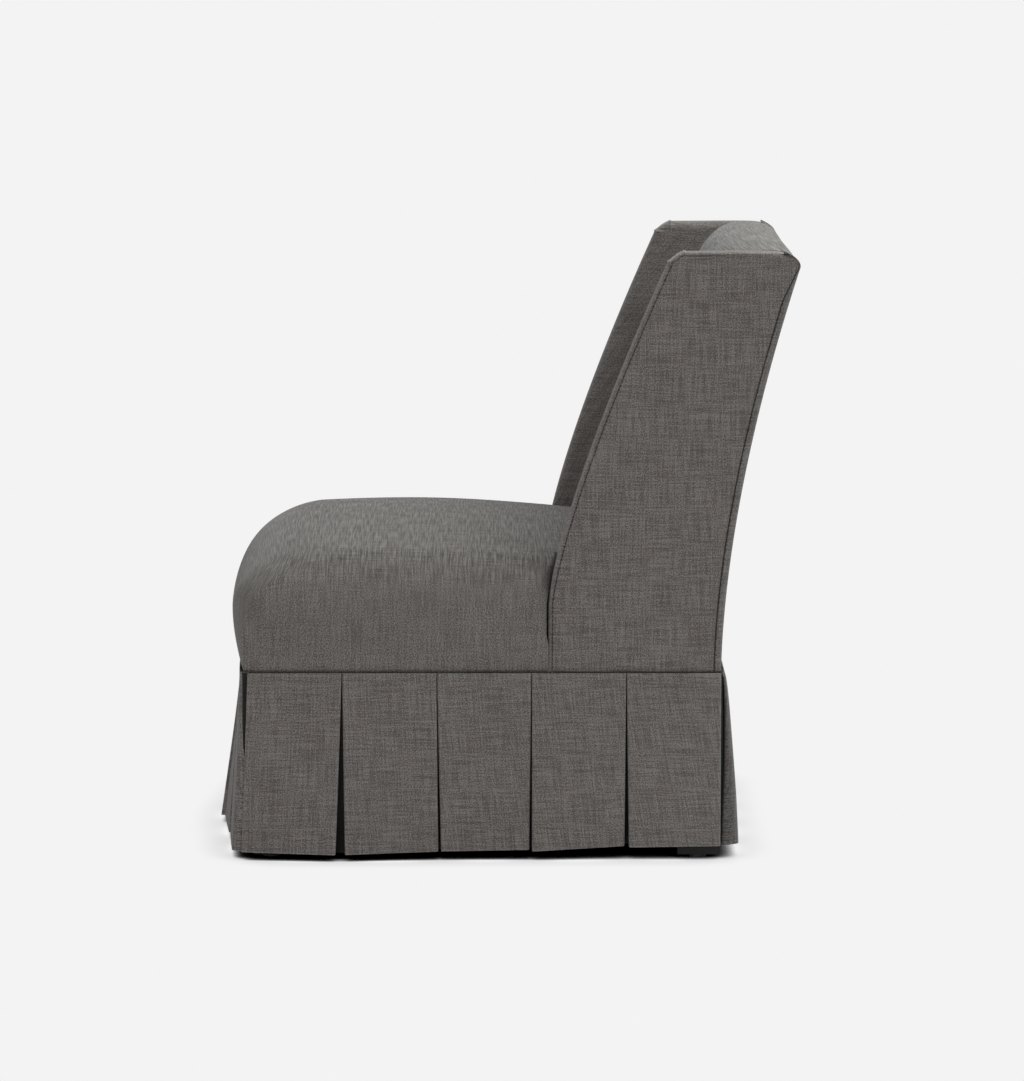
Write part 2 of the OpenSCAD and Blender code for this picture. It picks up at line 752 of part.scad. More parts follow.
// Middle line of the cloth at a drop: [s, layers inward] from one end fold to the other
function skirt_line(length, panels, drop) = let(pitch = length / panels, slack = gap + skirt_t / 2) concat(
    [[pleat_return, 1], [slack, 1], [slack, 0]],
    [for (i = [1:panels - 1]) let(s = i * pitch, half = slack + drop * pleat_opening(i - 1) / 2) each [
        [s - half, 0], [s - half, 1], [s - pleat_return, 1], [s - pleat_return, 2],
        [s + pleat_return, 2], [s + pleat_return, 1], [s + half, 1], [s + half, 0]
    ]],
    [[length - slack, 0], [length - slack, 1], [length - pleat_return, 1]]
);

// Shift of point i of a middle line to one side of the cloth, square at each corner
function corner_shift(line, i) = let(
    n = len(line),
    a = line[min(i + 1, n - 1)] - line[min(i, n - 2)],
    b = line[max(i, 1)] - line[max(i - 1, 0)],
    u = [-a[1], a[0]] / norm(a),
    v = [-b[1], b[0]] / norm(b)
) (u + v) / (1 + u * v) * skirt_t / 2;

// flares and hem heights are lists of [start, middle, end] values along the skirt
function along(list, share) = share < 0.5
    ? list[0] + (list[1] - list[0]) * share * 2
    : list[1] + (list[2] - list[1]) * (share * 2 - 1);

module skirt_piece(length, panels, flares, curve, hems, bow = 0) {
    sides = [for (hand = [1, -1]) [for (drop = drops)
        let(line = skirt_line(length, panels, drop), depth = layer + pleat_spread * pow(drop, spread_curve),
            flat = [for (p = line) [p[0], heading_t - skirt_t / 2 - depth * p[1]]])
        [for (i = [0:len(line) - 1]) let(
            q = flat[i] + hand * corner_shift(flat, i),
            share = min(1, max(0, q[0] / length)),
            flare = along(flares, share) * pow(drop, curve) + bow * (1 - pow(2 * share - 1, 2))
        ) [q[0], q[1] + flare, seam_z - gap - drop * (seam_z - gap - along(hems, share))]]]];
    faces = sheet_faces(len(drops), len(sides[0][0]));
    polyhedron(concat(joined(sides[0]), joined(sides[1])), turned(faces));
}

side_length = body_d - corner_set;
rear_hem_z = hem_z + hem_rise;

module skirt_side(side) {
    color(cloth_colour) on_side(side) translate([body_w / 2, y_front + corner_set, 0])
        multmatrix([[0, 1, 0, 0], [1, 0, 0, 0], [0, 0, 1, 0], [0, 0, 0, 1]])
        skirt_piece(side_length, side_panels, flare_side * side_flare_shares, flare_curve,
            [hem_z, hem_z, rear_hem_z]);
}

module skirt_front() {
    color(cloth_colour) translate([-body_w / 2, y_front, 0]) mirror([0, 1, 0])
        skirt_piece(body_w, front_panels, flare_front * front_flare_shares, flare_curve,
            [hem_z, hem_z, hem_z], seat_bow);
}

module skirt_back() {
    color(cloth_colour) translate([-body_w / 2, y_back, 0])
        skirt_piece(body_w, front_panels, [flare_back, flare_back, flare_back], back_flare_curve,
            [rear_hem_z, rear_hem_z, rear_hem_z]);
}

// The folded piece of cloth behind the gap at a corner: low and high are its wall's two rows
module corner_pleat(x, y, side, way, hem) {
    reach = pleat_return + corner_set;
    function wall(drop, out) = let(z = seam_z - gap - drop * (seam_z - gap - hem))
        [[x - reach, y + way * out, z], [x + out, y + way * out, z], [x + out, y - way * reach, z]];
    points = concat(wall(0, layer), wall(1, layer), wall(0, gap), wall(1, gap));
    faces = sheet_faces(2, 3);
    color(cloth_colour) on_side(side)
        polyhedron(points, way > 0 ? faces : turned(faces));
}

front_rail();
rear_rail();
side_rail(1);  // side_rail_left
side_rail(-1);  // side_rail_right
front_leg(1);  // front_leg_left
front_leg(-1);  // front_leg_right
back_post(1);  // back_post_left
back_post(-1);  // back_post_right
corner_blocks();
corner_bolts();
glides();
top_back_rail();
middle_back_rail();
lower_back_rail();
wing_stile(1);  // wing_stile_left
wing_stile(-1);  // wing_stile_right
wing_top_board(1);  // wing_top_board_left
wing_top_board(-1);  // wing_top_board_right
seat_springs();
spring_clips();
spring_tie_wires();
seat_hessian();
seat_foam();
seat_cover();
back_webbing();
back_hessian();
back_foam();
inside_back_cover();
wing_pad(1);  // wing_pad_left
wing_pad(-1);  // wing_pad_right
wing_cover(1);  // wing_cover_left
wing_cover(-1);  // wing_cover_right
wing_outer_panel(1);  // wing_outer_panel_left
wing_outer_panel(-1);  // wing_outer_panel_right
outside_back_cover();
dust_cover();
skirt_tack_strips();
skirt_front();
skirt_back();
skirt_side(1);  // skirt_left
skirt_side(-1);  // skirt_right
corner_pleat(body_w / 2, y_front, 1, -1, hem_z);  // corner_pleat_front_left
corner_pleat(body_w / 2, y_front, -1, -1, hem_z);  // corner_pleat_front_right
corner_pleat(body_w / 2, y_back, 1, 1, rear_hem_z);  // corner_pleat_back_left
corner_pleat(body_w / 2, y_back, -1, 1, rear_hem_z);  // corner_pleat_back_right
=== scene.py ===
# %% [markdown]
# # A skirted accent chair in linen
# The timber frame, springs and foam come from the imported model. This lesson dresses them: a tight
# crowned seat, two slanted wings, a crowned back and a box pleated skirt, in one linen cloth.
# Nearly every surface is worked out with numpy as a function of two parameters on a grid.

# %% Load the frame
import json
import math

import bpy
import numpy as np
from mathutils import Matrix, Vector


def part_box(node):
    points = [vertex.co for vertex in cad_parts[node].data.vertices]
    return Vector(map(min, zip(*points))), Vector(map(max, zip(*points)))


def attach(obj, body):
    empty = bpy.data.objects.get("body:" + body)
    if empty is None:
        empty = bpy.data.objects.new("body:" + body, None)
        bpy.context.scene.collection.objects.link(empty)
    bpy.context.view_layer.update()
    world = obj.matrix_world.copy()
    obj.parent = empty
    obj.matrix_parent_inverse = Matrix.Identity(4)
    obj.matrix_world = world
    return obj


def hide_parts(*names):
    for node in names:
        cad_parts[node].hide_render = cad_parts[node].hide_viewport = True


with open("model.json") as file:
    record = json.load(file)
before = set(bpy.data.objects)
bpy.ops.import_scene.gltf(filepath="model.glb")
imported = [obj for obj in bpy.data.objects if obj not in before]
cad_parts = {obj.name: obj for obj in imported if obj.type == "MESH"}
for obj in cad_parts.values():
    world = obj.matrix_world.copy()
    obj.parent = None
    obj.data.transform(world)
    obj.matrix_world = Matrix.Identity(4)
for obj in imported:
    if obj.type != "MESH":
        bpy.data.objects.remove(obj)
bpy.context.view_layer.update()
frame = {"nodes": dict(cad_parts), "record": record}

nodes = frame["nodes"]

# %% [markdown]
# ## The sizes that the covers follow
# A cover has to fit what it covers, so its sizes are the frame's own. The heights and widths are
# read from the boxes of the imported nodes, and the few that no box gives are named here, in metres.

# %% Sizes
outer_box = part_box("outside_back_cover")
wing_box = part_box("wing_cover_left")
half_w = outer_box[1].x
seam_z = outer_box[0].z
wing_top_z = wing_box[1].z
wing_x = wing_box[0].x
wrap_w = 0.010
y_back = outer_box[0].y + wrap_w
y_wing = wing_box[0].y
body_d = 0.679
y_front = y_back - body_d
# the inside back's thickness, and how far and how sharply the back and the wings lean
back_t = 0.118
back_reach = 0.115
back_curve = 1.7
wing_lean = 0.175
wing_curve = 1.3
wing_foot_h = 0.096
wing_bend_z = seam_z + wing_foot_h
seat_top_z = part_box("seat_cover")[1].z
crown_top_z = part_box("inside_back_cover")[1].z
# the space that is left between two covers that meet
gap = 0.0003
print("body", half_w * 2, "x", body_d, "seam at", seam_z, "wings up to", wing_top_z)


def rear_y(z):
    """Sweep of the back: it leaves the base upright and reaches back as a power of the height."""
    t = np.clip((np.asarray(z) - seam_z) / (wing_top_z - seam_z), 0, None)
    return y_back + back_reach * t ** back_curve


def edge_y(z):
    """Front edge of a wing: upright at its foot, then leaning back as a power of the height above it."""
    t = np.clip((np.asarray(z) - wing_bend_z) / (wing_top_z - wing_bend_z), 0, None)
    return y_wing + wing_lean * t ** wing_curve


# %% [markdown]
# ## Turning arrays into meshes
# A grid of points becomes a mesh of four sided faces. The helpers take an array of rows by columns
# by three, and a second one for the cloth's own coordinates, which a weave has to follow. A cloth
# simulation would drape the sheets too, but a formula gives the same folds on every run.

# %% Mesh helpers
def new_mesh(name, points, faces, cloth_uv=None, shade=None):
    """A mesh object at the origin, from points (n, 3) and faces. For each point, cloth_uv is its place
    on the cloth, and shade is below zero in seams and folds and above it on edges that catch the light."""
    mesh = bpy.data.meshes.new(name)
    mesh.from_pydata(np.asarray(points).tolist(), [], [list(map(int, f)) for f in faces])
    mesh.polygons.foreach_set("use_smooth", np.ones(len(mesh.polygons), bool))
    if cloth_uv is not None:
        corner = np.empty(len(mesh.loops), int)
        mesh.loops.foreach_get("vertex_index", corner)
        layer = mesh.uv_layers.new(name="cloth")
        layer.data.foreach_set("uv", np.asarray(cloth_uv)[corner].ravel())
    if shade is not None:
        layer = mesh.attributes.new("shade", "FLOAT", "POINT")
        layer.data.foreach_set("value", np.asarray(shade, dtype=float).ravel())
    mesh.validate()
    obj = bpy.data.objects.new(name, mesh)
    bpy.context.collection.objects.link(obj)
    return obj


def grid_faces(rows, cols, loop=False):
    """Faces of a grid whose points run along the columns first; loop joins the last column to the first."""
    r, c = np.meshgrid(np.arange(rows - 1), np.arange(cols if loop else cols - 1), indexing="ij")
    n = (c + 1) % cols
    quads = np.stack([r * cols + c, r * cols + n, (r + 1) * cols + n, (r + 1) * cols + c], -1)
    return quads.reshape(-1, 4)


def grid_sheet(name, points, uv, shade=None, flip=False):
    """A mesh from a grid of points (rows, columns, 3) and its cloth coordinates; flip turns its faces."""
    faces = grid_faces(*points.shape[:2])
    if flip:
        faces = faces[:, ::-1]
    return new_mesh(name, points.reshape(-1, 3), faces, uv.reshape(-1, 2), shade)


def thicken(obj, thickness, offset=-1.0):
    """Gives a sheet its thickness: inwards from the surface that shows, or half each way at offset 0."""
    solid = obj.modifiers.new("cloth thickness", "SOLIDIFY")
    solid.thickness = thickness
    solid.offset = offset
    solid.use_even_offset = False
    return obj


def spaced(*stops):
    """Runs of even steps joined end to end: each stop after the first is (end, number of steps)."""
    values = [stops[0]]
    for end, steps in stops[1:]:
        values.extend(np.linspace(values[-1], end, steps + 1)[1:])
    return np.array(values)


def ripple(a, b, seed, size):
    """Soft unevenness of hand made work: the mean of seven slow sine waves with fixed phases."""
    waves = 7
    rng = np.random.default_rng(seed)
    total = np.zeros(np.broadcast(a, b).shape)
    for _ in range(waves):
        ka, kb, phase = rng.uniform(-1, 1), rng.uniform(-1, 1), rng.uniform(0, 2 * np.pi)
        total = total + np.sin(2 * np.pi * (ka * a + kb * b) / size + phase)
    return total / waves


# %% [markdown]
# ## The seat
# The seat is one piece of cloth pulled tight over foam, with no seams on its sides. Its outline in
# plan is a T, because it narrows to pass between the wings. A box with rounded edges would come close,
# but the edge here turns far wider at the front than at the sides. So each row of the grid is that
# outline at one height. The wall swells over the skirt seam, then turns over an elliptical edge onto
# a crown.

# %% Seat surface
seat_linen_t = 0.001
seat_swell_h = 0.088
seat_overhang = 0.014
seat_side_bulge = 0.004
seat_front_round = 0.123
seat_side_round = 0.054
seat_crown = 0.030
seat_dip = 0.011
seat_bow = 0.010
seat_corner_r = 0.060
seat_foot_r = 0.014
seat_middle_y = (y_front + y_wing) / 2
swell_z = seam_z + seat_swell_h
turn_end = math.radians(84)
# the notch that lets the wing in: the cloth keeps clear of the wing above notch_z
wing_clear = 0.0032
notch_z = seam_z + 0.038
notch_ease_h = 0.015
notch_fade_h = 0.02
notch_in = 0.0012
notch_reach = 0.004
# the crease, where the wing draws the cloth in
dimple_z = seam_z + 0.128
dimple_in = 0.0015
dimple_h = 0.024
dimple_reach = 0.009
# the cloth's foot, which is drawn in and down into the skirt's seam
foot_pinch = 0.005
foot_fade_h = 0.004
seam_sink = 0.003
seam_fade_h = 0.001
# painted shade: how much darker the crease, the notch and the seam are drawn
crease_painted_shade = 0.85
notch_painted_shade = 0.55
seam_painted_shade = 0.6
seam_painted_shade_h = 0.0022
notch_painted_shade_h = 0.06
# how near a wing the cloth is drawn in, and the unevenness of the padding
beside_wing = 0.02
uneven_slow = 0.0016
uneven_quick = 0.0005
uneven_fade_h = 0.1
top_share = 0.97
turn_down_w = 0.01


def crown_z(x, y):
    """Height of the crown: a dome that falls with the square of the distance from the middle both ways."""
    fall_x = seat_crown * (x / half_w) ** 2
    return seat_top_z - fall_x - seat_dip * ((y - seat_middle_y) / (seat_middle_y - y_front)) ** 2


def seat_outline(angle, wall):
    """Half of the outline in plan, on the side of +X, for every row at once: front, corner arc, side, the
    step in at the wing, tongue and rear. wall is the share of the wall climbed and angle the turn over
    its edge: the inset grows as one minus the cosine of it, and the height as the sine."""
    def height(x, y):
        """Height at a place: the share of the wall climbed, or above it the crown's, eased by the sine."""
        over = swell_z + (crown_z(x, y) - swell_z) * np.sin(angle)[:, None] / math.sin(turn_end)
        return np.where(wall[:, None] < 1, seam_z + wall[:, None] * seat_swell_h, over)

    swell = np.sin(np.pi / 2 * wall)[:, None]
    inset = (1 - np.cos(angle))[:, None]
    a = half_w + seat_side_bulge * swell - inset * seat_side_round
    b = wing_x - gap - inset * seat_side_round / 2
    front = y_front - seat_overhang * swell + inset * seat_front_round
    level = height(a, y_wing)
    step = edge_y(level) - wing_clear * np.clip((level - notch_z) / notch_ease_h, 0.1, 1)
    r = seat_foot_r + (seat_corner_r - seat_foot_r) * wall[:, None]
    along = np.linspace(0, 1, 25)[None]
    turn = np.linspace(0, np.pi / 2, 17)[None, 1:]
    side = np.linspace(0, 1, 41)[None, 1:]
    notch = np.linspace(0, 1, 9)[None, 1:]
    x = np.concatenate([(a - r) * along, a - r + r * np.sin(turn), a + 0 * side], 1)
    y = np.concatenate([front + 0 * along, front + r - r * np.cos(turn),
                        front + r + (step - front - r) * side], 1)
    y = y - seat_bow * (1 - np.clip(x / a, -1, 1) ** 2) * np.clip((step - y) / (step - front), 0, 1)
    x = np.concatenate([x, a + (b - a) * notch, b + 0 * notch, b * (1 - notch)], 1)
    rear_x = x[:, -notch.shape[1]:]
    back = rear_y(height(rear_x, rear_y(seat_top_z) - back_t)) - back_t - wing_clear
    y = np.concatenate([y, step + 0 * notch, step + (back[:, :1] - step) * notch, back], 1)
    return x, y, height


def seat_surface():
    """Points, faces, cloth coordinates and shade of the closed crowned surface."""
    # rows climb the wall, turn over its edge, and close in on the middle of the top
    wall = np.linspace(0, 1, 19)
    turn = np.linspace(0, 1, 41)[1:]
    top = np.linspace(0, top_share, 46)[1:]
    angle = np.concatenate([0 * wall, turn * turn_end, 0 * top + turn_end])
    wall = np.concatenate([wall, 0 * turn + 1, 0 * top + 1])
    x, y, height = seat_outline(angle, wall)
    x = np.concatenate([x, -x[:, -2:0:-1]], 1)
    y = np.concatenate([y, y[:, -2:0:-1]], 1)
    rows, cols = x.shape
    share = 1 - np.concatenate([np.zeros(rows - len(top)), top])[:, None]
    x = x * share
    y = seat_middle_y + (y - seat_middle_y) * share
    z = height(x, y)
    # the cloth sinks into the seam at its foot, and is drawn in beside the wings
    drawn = 1 - foot_pinch * np.exp(-(z - seam_z) / foot_fade_h)
    x = x * drawn
    y = seat_middle_y + (y - seat_middle_y) * drawn
    z = z - seam_sink * np.exp(-(z - seam_z) / seam_fade_h)
    ahead = np.clip(edge_y(z) - y, 0, 1)
    beside = np.abs(x) > wing_x + beside_wing
    crease = np.exp(-(ahead / dimple_reach) ** 1.2 - ((z - dimple_z) / dimple_h) ** 2) * beside
    open_notch = np.exp(-ahead / notch_reach) * np.clip((z - notch_z) / notch_fade_h, 0, 1) * beside
    x = x - np.sign(x) * (dimple_in * crease + notch_in * open_notch)
    # painted shade in the crease, the notch and the seam
    shade = -crease_painted_shade * crease - notch_painted_shade * open_notch * (1 - crease) * (z < dimple_z + notch_painted_shade_h)
    shade = shade - seam_painted_shade * np.exp(-(z - seam_z + seam_sink) / seam_painted_shade_h)
    # slow and quick unevenness lifts the top and pushes out the sides
    uneven = ripple(y + 0.4 * z, x + 0.3 * z, 5, 0.34) * uneven_slow
    uneven = uneven + ripple(y, x + z, 8, 0.12) * uneven_quick
    z = z + uneven * np.clip((z - swell_z) / uneven_fade_h, 0, 1)
    x = x + np.sign(x) * uneven * np.clip((seat_top_z - z) / uneven_fade_h, 0, 1)
    # slubs run across the seat and down its sides, so the cloth's first coordinate follows that way
    drop = seat_top_z - z
    sideways = np.clip((np.abs(x) - half_w + seat_corner_r) / (seat_corner_r - turn_down_w), 0, 1)
    forward = np.clip(1 - (y - y_front) / seat_front_round, 0, 1)
    cloth_u = x + np.sign(x) * drop * sideways
    cloth_v = y - drop * forward * (1 - sideways)
    # one point in the middle of the top closes the surface
    points = np.stack([x, y, z], -1).reshape(-1, 3)
    points = np.concatenate([points, [[0, seat_middle_y, seat_top_z]]])
    uv = np.stack([cloth_u, cloth_v], -1).reshape(-1, 2)
    uv = np.concatenate([uv, [[0, seat_middle_y]]])
    faces = grid_faces(rows, cols, loop=True).tolist()
    last = (rows - 1) * cols
    faces += [[last + i, last + (i + 1) % cols, rows * cols] for i in range(cols)]
    return points, faces, uv, np.append(shade, 0)


seat = thicken(new_mesh("seat_linen", *seat_surface()), seat_linen_t)
print("seat points", len(seat.data.vertices))

# %% [markdown]
# ## The wings
# A wing is a flat timber panel with a thin pad inside. Its inner cover turns round the front and top
# edges onto the outer side, where the outer panel is sewn to it by hand, 5 mm in from the edge. Panel
# and cover could be two sheets, but then their edges would have to meet exactly. So the skin is one
# grid that is divided at the seam: rows go up, and each row runs from the back along the outer side,
# round the front edge and back along the inner side. The distance to the nearest edge rounds it and
# sinks the seam.

# %% Wing skin
wing_linen_t = 0.0015
edge_r_out = 0.004
edge_r_in = 0.011
corner_r = 0.0235
corner_turn = math.pi / 2 - math.atan(wing_curve * wing_lean / (wing_top_z - wing_bend_z))
corner_h = corner_r * (1 - math.cos(corner_turn))
corner_w = corner_r * math.sin(corner_turn)
# the small bump that the folded cloth makes at the corner
ear_h = 0.0014
ear_reach = 0.0018
rear_round_h = 0.026
rear_round_w = 0.030
rear_round_power = 2.4
# the hand sewn seam, 5 mm in from the edge, and the rear seam, which closes below the wing's top
lip_w = 0.005
seam_depth = 0.0016
seam_half_w = 0.0009
sewn_half_w = 0.0008
seam_close_h = 0.013
rear_seam_half_w = 0.0013
# painted shade in the rear seam
rear_seam_painted_shade = 0.85
# how far the outer side lies in: everywhere, under the back's wrap, and at its foot
skin_in = 0.0008
wrap_in = 0.0025
foot_in = 0.0012
foot_in_h = 0.0015
# the cloth's soft swells, outside and inside
puff_out = 0.0012
puff_in = 0.0015
tuck_h = 0.003
puff_edge = 0.05
puff_foot = 0.03
swell_w = 0.16
swell_edge = 0.04
swell_uneven = 0.001
# the wrap tapers to a small share of its width at the top
wrap_taper_h = 0.055
wrap_least = 0.12
wrap_step_w = 0.0015
seam_end_h = 0.006
# the hand sewn seam fades out along the top
seam_fade_w = 0.05
seam_fade_h = 0.02
# the outer edge is sharper near the foot and softer at the rear top corner
sharp_from_h = 0.012
sharp_fade_h = 0.02
sharp_share = 0.4
soft_r = 0.005
soft_from = 0.045
soft_w = 0.035
soft_h = 0.03
# the front wall bulges, and the top edge is uneven and droops at the rear
wall_bulge = 0.0015
near_top_h = 0.05
top_uneven = 0.0010
droop_h = 0.0018
droop_w = 0.020
edge_cloth_w = 0.04
# painted shade in the seams and at the foot, and a painted highlight along the very edge and on the front
# wall
sewn_painted_shade = 0.20
deepest_painted_shade = 0.9
foot_painted_shade_h = 0.0012
edge_painted_highlight = 0.30
edge_painted_highlight_w = 0.0016
wall_painted_highlight = 0.12


def front_limit(z):
    """Front edge, with its top corner turned: half way between a circular arc and its chord."""
    over = np.clip(z - wing_top_z + corner_h, 0, corner_h)
    rise = corner_r - corner_h + over
    arc = corner_r * math.sin(corner_turn) - np.sqrt(np.clip(corner_r ** 2 - rise ** 2, 0, None))
    ear = ear_h * np.exp(-((z - wing_top_z + corner_h) / ear_reach) ** 2)
    return edge_y(np.minimum(z, wing_top_z - corner_h)) + 0.5 * (arc + corner_w * over / corner_h) - ear


def rear_limit(z):
    """Rear edge, which rounds forward near the top as a power of how near the top is."""
    return rear_y(z) - rear_round_w * np.clip(1 - (wing_top_z - z) / rear_round_h, 0, 1) ** rear_round_power


def wrap_at(z):
    """How far the outside back wraps onto the wing: its full width, tapering to little at the top."""
    return wrap_w * np.clip((wing_top_z - seam_close_h - z) / wrap_taper_h, wrap_least, 1)


def seam_end(z):
    """1 along the rear seam, fading to 0 just under the wing's top, where the seam is closed."""
    return np.clip((wing_top_z - seam_close_h - z) / seam_end_h, 0, 1)


def seam_painted_shade_at(z):
    """Mask of the painted shade at the skirt's seam: 1 there, falling off above it as an exponential of the
    height.
    """
    return np.exp(-np.clip(z - seam_z, 0, 1) / foot_painted_shade_h)


def rounded(distance, r):
    """How far a rounded edge of radius r lies in from the face at a distance from the edge."""
    d = np.clip(distance, 0, r)
    return r - np.sqrt(np.clip(r ** 2 - (r - d) ** 2, 0, None))


def wing_skin():
    """Points, cloth coordinates, shade, edge distance and side of the whole skin of the left wing."""
    # rows are denser at the foot and the top, columns at the front edge and the rear seam
    z = spaced(seam_z - tuck_h, (seam_z + 0.004, 14), (wing_top_z - 0.03, 88), (wing_top_z - 0.008, 22),
               (wing_top_z, 24))
    near = spaced(0, (0.012, 30), (0.03, 8))
    far = spaced(0, (0.92, 34), (0.955, 6), (1, 30))[1:]
    front, rear = front_limit(z)[:, None], rear_limit(z)[:, None]
    depth = np.concatenate([near[None] + 0 * front, near[-1] + (rear - front - near[-1]) * far[None]], 1)
    y = front + depth
    top = (wing_top_z - z)[:, None]
    above_seam = z[:, None] - seam_z
    slope = np.gradient(front[:, 0], z)[:, None]
    ahead = depth / np.sqrt(1 + slope ** 2)
    distance = np.minimum(ahead, top + 0 * ahead)
    across = z[:, None] + 0 * y
    # the hand sewn seam runs up the front and fades out along the top
    past_corner = y - edge_y(wing_top_z) - seam_fade_w
    seam_fade = np.clip(past_corner / seam_fade_w, 0, 1) * (top < seam_fade_h)
    seam = seam_depth * (1 - seam_fade) * np.exp(-((distance - lip_w) / seam_half_w) ** 2)
    puff = puff_out * ripple(y, across, 3, 0.4) * np.clip(distance / puff_edge, 0, 1)
    puff = puff * np.clip(above_seam / puff_foot, 0, 1)
    # behind the rear seam the skin drops under the outside back's wrap
    from_wrap = y - rear + wrap_at(z)[:, None]
    sewn_rear = np.exp(-(from_wrap / rear_seam_half_w) ** 2) * seam_end(z)[:, None]
    under = wrap_in * np.clip(from_wrap / wrap_step_w + 0.5, 0, 1) * seam_end(z)[:, None]
    foot = foot_in * np.exp(-np.clip(above_seam, 0, 1) / foot_in_h)
    # the outer edge is sharper near the wing's foot and softer at its rear top corner
    low = np.clip((z[:, None] - notch_z - sharp_from_h) / sharp_fade_h, sharp_share, 1)
    soft = np.clip((y - rear + soft_from) / soft_w, 0, 1) * np.clip(1 - top / soft_h, 0, 1)
    outer_round = rounded(distance, edge_r_out * low + soft_r * soft)
    outside = half_w - outer_round - seam + puff - skin_in - under - foot
    swell = puff_in * np.sin(np.pi * np.clip(depth / swell_w, 0, 1))
    swell = swell + swell_uneven * ripple(y, across, 4, 0.3)
    inside = wing_x + rounded(distance, edge_r_in) - swell * np.clip(distance / swell_edge, 0, 1)
    # the narrow front wall joins both sides
    wall = np.linspace(0, 1, 9)[None, 1:-1]
    wall_x = outside[:, :1] + (inside[:, :1] - outside[:, :1]) * wall
    wall_y = y[:, :1] - wall_bulge * np.sin(np.pi * wall)
    x = np.concatenate([outside[:, ::-1], wall_x, inside], 1)
    yy = np.concatenate([y[:, ::-1], wall_y, y], 1)
    zz = np.repeat(z[:, None], x.shape[1], 1)
    # the top edge is a little uneven, with the bump at its front corner and a droop at its rear one
    ear = ear_h * np.exp(-((yy - edge_y(wing_top_z - corner_h) - corner_w) / ear_reach) ** 2)
    near_top = np.clip((z[:, None] - wing_top_z + near_top_h) / near_top_h, 0, 1)
    droop = droop_h * np.clip((yy - rear_limit(wing_top_z) + droop_w) / droop_w, 0, 1) ** 2
    zz = zz + top_uneven * ripple(yy, x, 9, 0.2) * near_top + (ear - droop) * near_top ** 6
    length = np.concatenate([y[:, ::-1], y[:, :1] - edge_cloth_w * wall,
                             2 * y[:, :1] - edge_cloth_w - y], 1)
    edge = np.concatenate([distance[:, ::-1], 0 * wall + 0 * front, distance], 1)
    outer = np.concatenate([np.ones_like(y), np.zeros(wall_y.shape), np.zeros_like(y)], 1)
    points = np.stack([x, yy, zz], -1)
    # painted shade in the seams and at the foot, a painted highlight along the very edge and on the front
    # wall
    sewn = np.exp(-((distance - lip_w) / sewn_half_w) ** 2) * (1 - seam_fade)
    dark = -sewn_painted_shade * sewn - rear_seam_painted_shade * sewn_rear
    dark = np.clip(dark - seam_painted_shade * seam_painted_shade_at(z[:, None]), -deepest_painted_shade, 0)
    shade = dark + edge_painted_highlight * np.exp(-(distance / edge_painted_highlight_w) ** 2) * (sewn < 0.2)
    shade = np.concatenate([shade[:, ::-1], wall_painted_highlight + 0 * wall_y, 0 * y], 1)
    return points, np.stack([length, zz], -1), shade, edge, outer


def wing_faces(points):
    """Grid faces of the skin, with the last row's outer half joined over the top to its inner half."""
    rows, cols = points.shape[:2]
    faces = grid_faces(rows, cols).tolist()
    last = (rows - 1) * cols
    for i in range((cols - 1) // 2):
        faces.append([last + i, last + i + 1, last + cols - 2 - i, last + cols - 1 - i])
    return faces


def keep_points(points, uv, shade, faces, keep):
    """Only the faces that keep names, with the points that they use renumbered."""
    faces = [f for f, k in zip(faces, keep) if k]
    used = np.unique(np.concatenate([np.array(f) for f in faces]))
    number = np.full(len(points), -1)
    number[used] = np.arange(len(used))
    return points[used], [[number[i] for i in f] for f in faces], uv[used], shade[used]


def build_wing(side, name):
    """Outer panel and inner cover of one wing; side is 1 for the sitter's left, -1 for the right."""
    points, uv, shade, edge, outer = wing_skin()
    faces = wing_faces(points)
    flat, flat_uv = points.reshape(-1, 3) * [side, 1, 1], uv.reshape(-1, 2)
    shade, edge, outer = shade.ravel(), edge.ravel(), outer.ravel()
    if side > 0:
        faces = [f[::-1] for f in faces]
    middle_edge = np.array([edge[f].mean() for f in faces])
    on_outer = np.array([outer[f].min() > 0.5 for f in faces])
    is_panel = on_outer & (middle_edge > lip_w)
    panel = new_mesh(f"wing_outer_linen_{name}", *keep_points(flat, flat_uv, shade, faces, is_panel))
    cover = new_mesh(f"wing_cover_linen_{name}", *keep_points(flat, flat_uv, shade, faces, ~is_panel))
    return thicken(panel, wing_linen_t), thicken(cover, wing_linen_t)


wing_panel_left, wing_cover_left = build_wing(1, "left")
wing_panel_right, wing_cover_right = build_wing(-1, "right")
print("wing cover points", len(wing_cover_left.data.vertices))

# %% [markdown]
# ## Inside the wings
# Under a wing's cover are a sawn timber stile and a foam pad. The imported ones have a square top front
# corner, but the cover is pulled over a cut one, so they are made again here with the corner off. They
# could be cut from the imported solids, but an outline drawn from the cover's own edge is sure to fit.

# %% Stiles and pads
skin_space = 0.0030
stile_space = 0.0028


def board(name, outline, x_near, x_far):
    """A flat board or pad: an outline of (y, z) points going round, between two places across the chair."""
    count = len(outline)
    points = [(x, y, z) for x in (x_near, x_far) for y, z in outline]
    faces = [list(range(count))[::-1], list(range(count, 2 * count))]
    faces += [[i, (i + 1) % count, count + (i + 1) % count, count + i] for i in range(count)]
    if x_far < x_near:
        faces = [f[::-1] for f in faces]
    obj = new_mesh(name, points, faces)
    for face in obj.data.polygons:
        face.use_smooth = False
    return obj


def cut_front(node):
    """Front edge of a wing part as (y, z) points: up behind the cover, then over the cut corner."""
    low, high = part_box(node)
    z = np.linspace(low.z, wing_top_z - corner_h - skin_space, 12)
    front = [(float(edge_y(h)) + skin_space, h) for h in z]
    cut = (float(edge_y(wing_top_z - corner_h)) + corner_w + skin_space, high.z)
    return front + [cut], z, high


def across_between(node, side):
    """The two places across the chair that a node lies between, on one side, nearest the middle first."""
    low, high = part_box(node)
    ends = sorted((abs(low.x), abs(high.x)))
    return side * ends[0], side * ends[1]


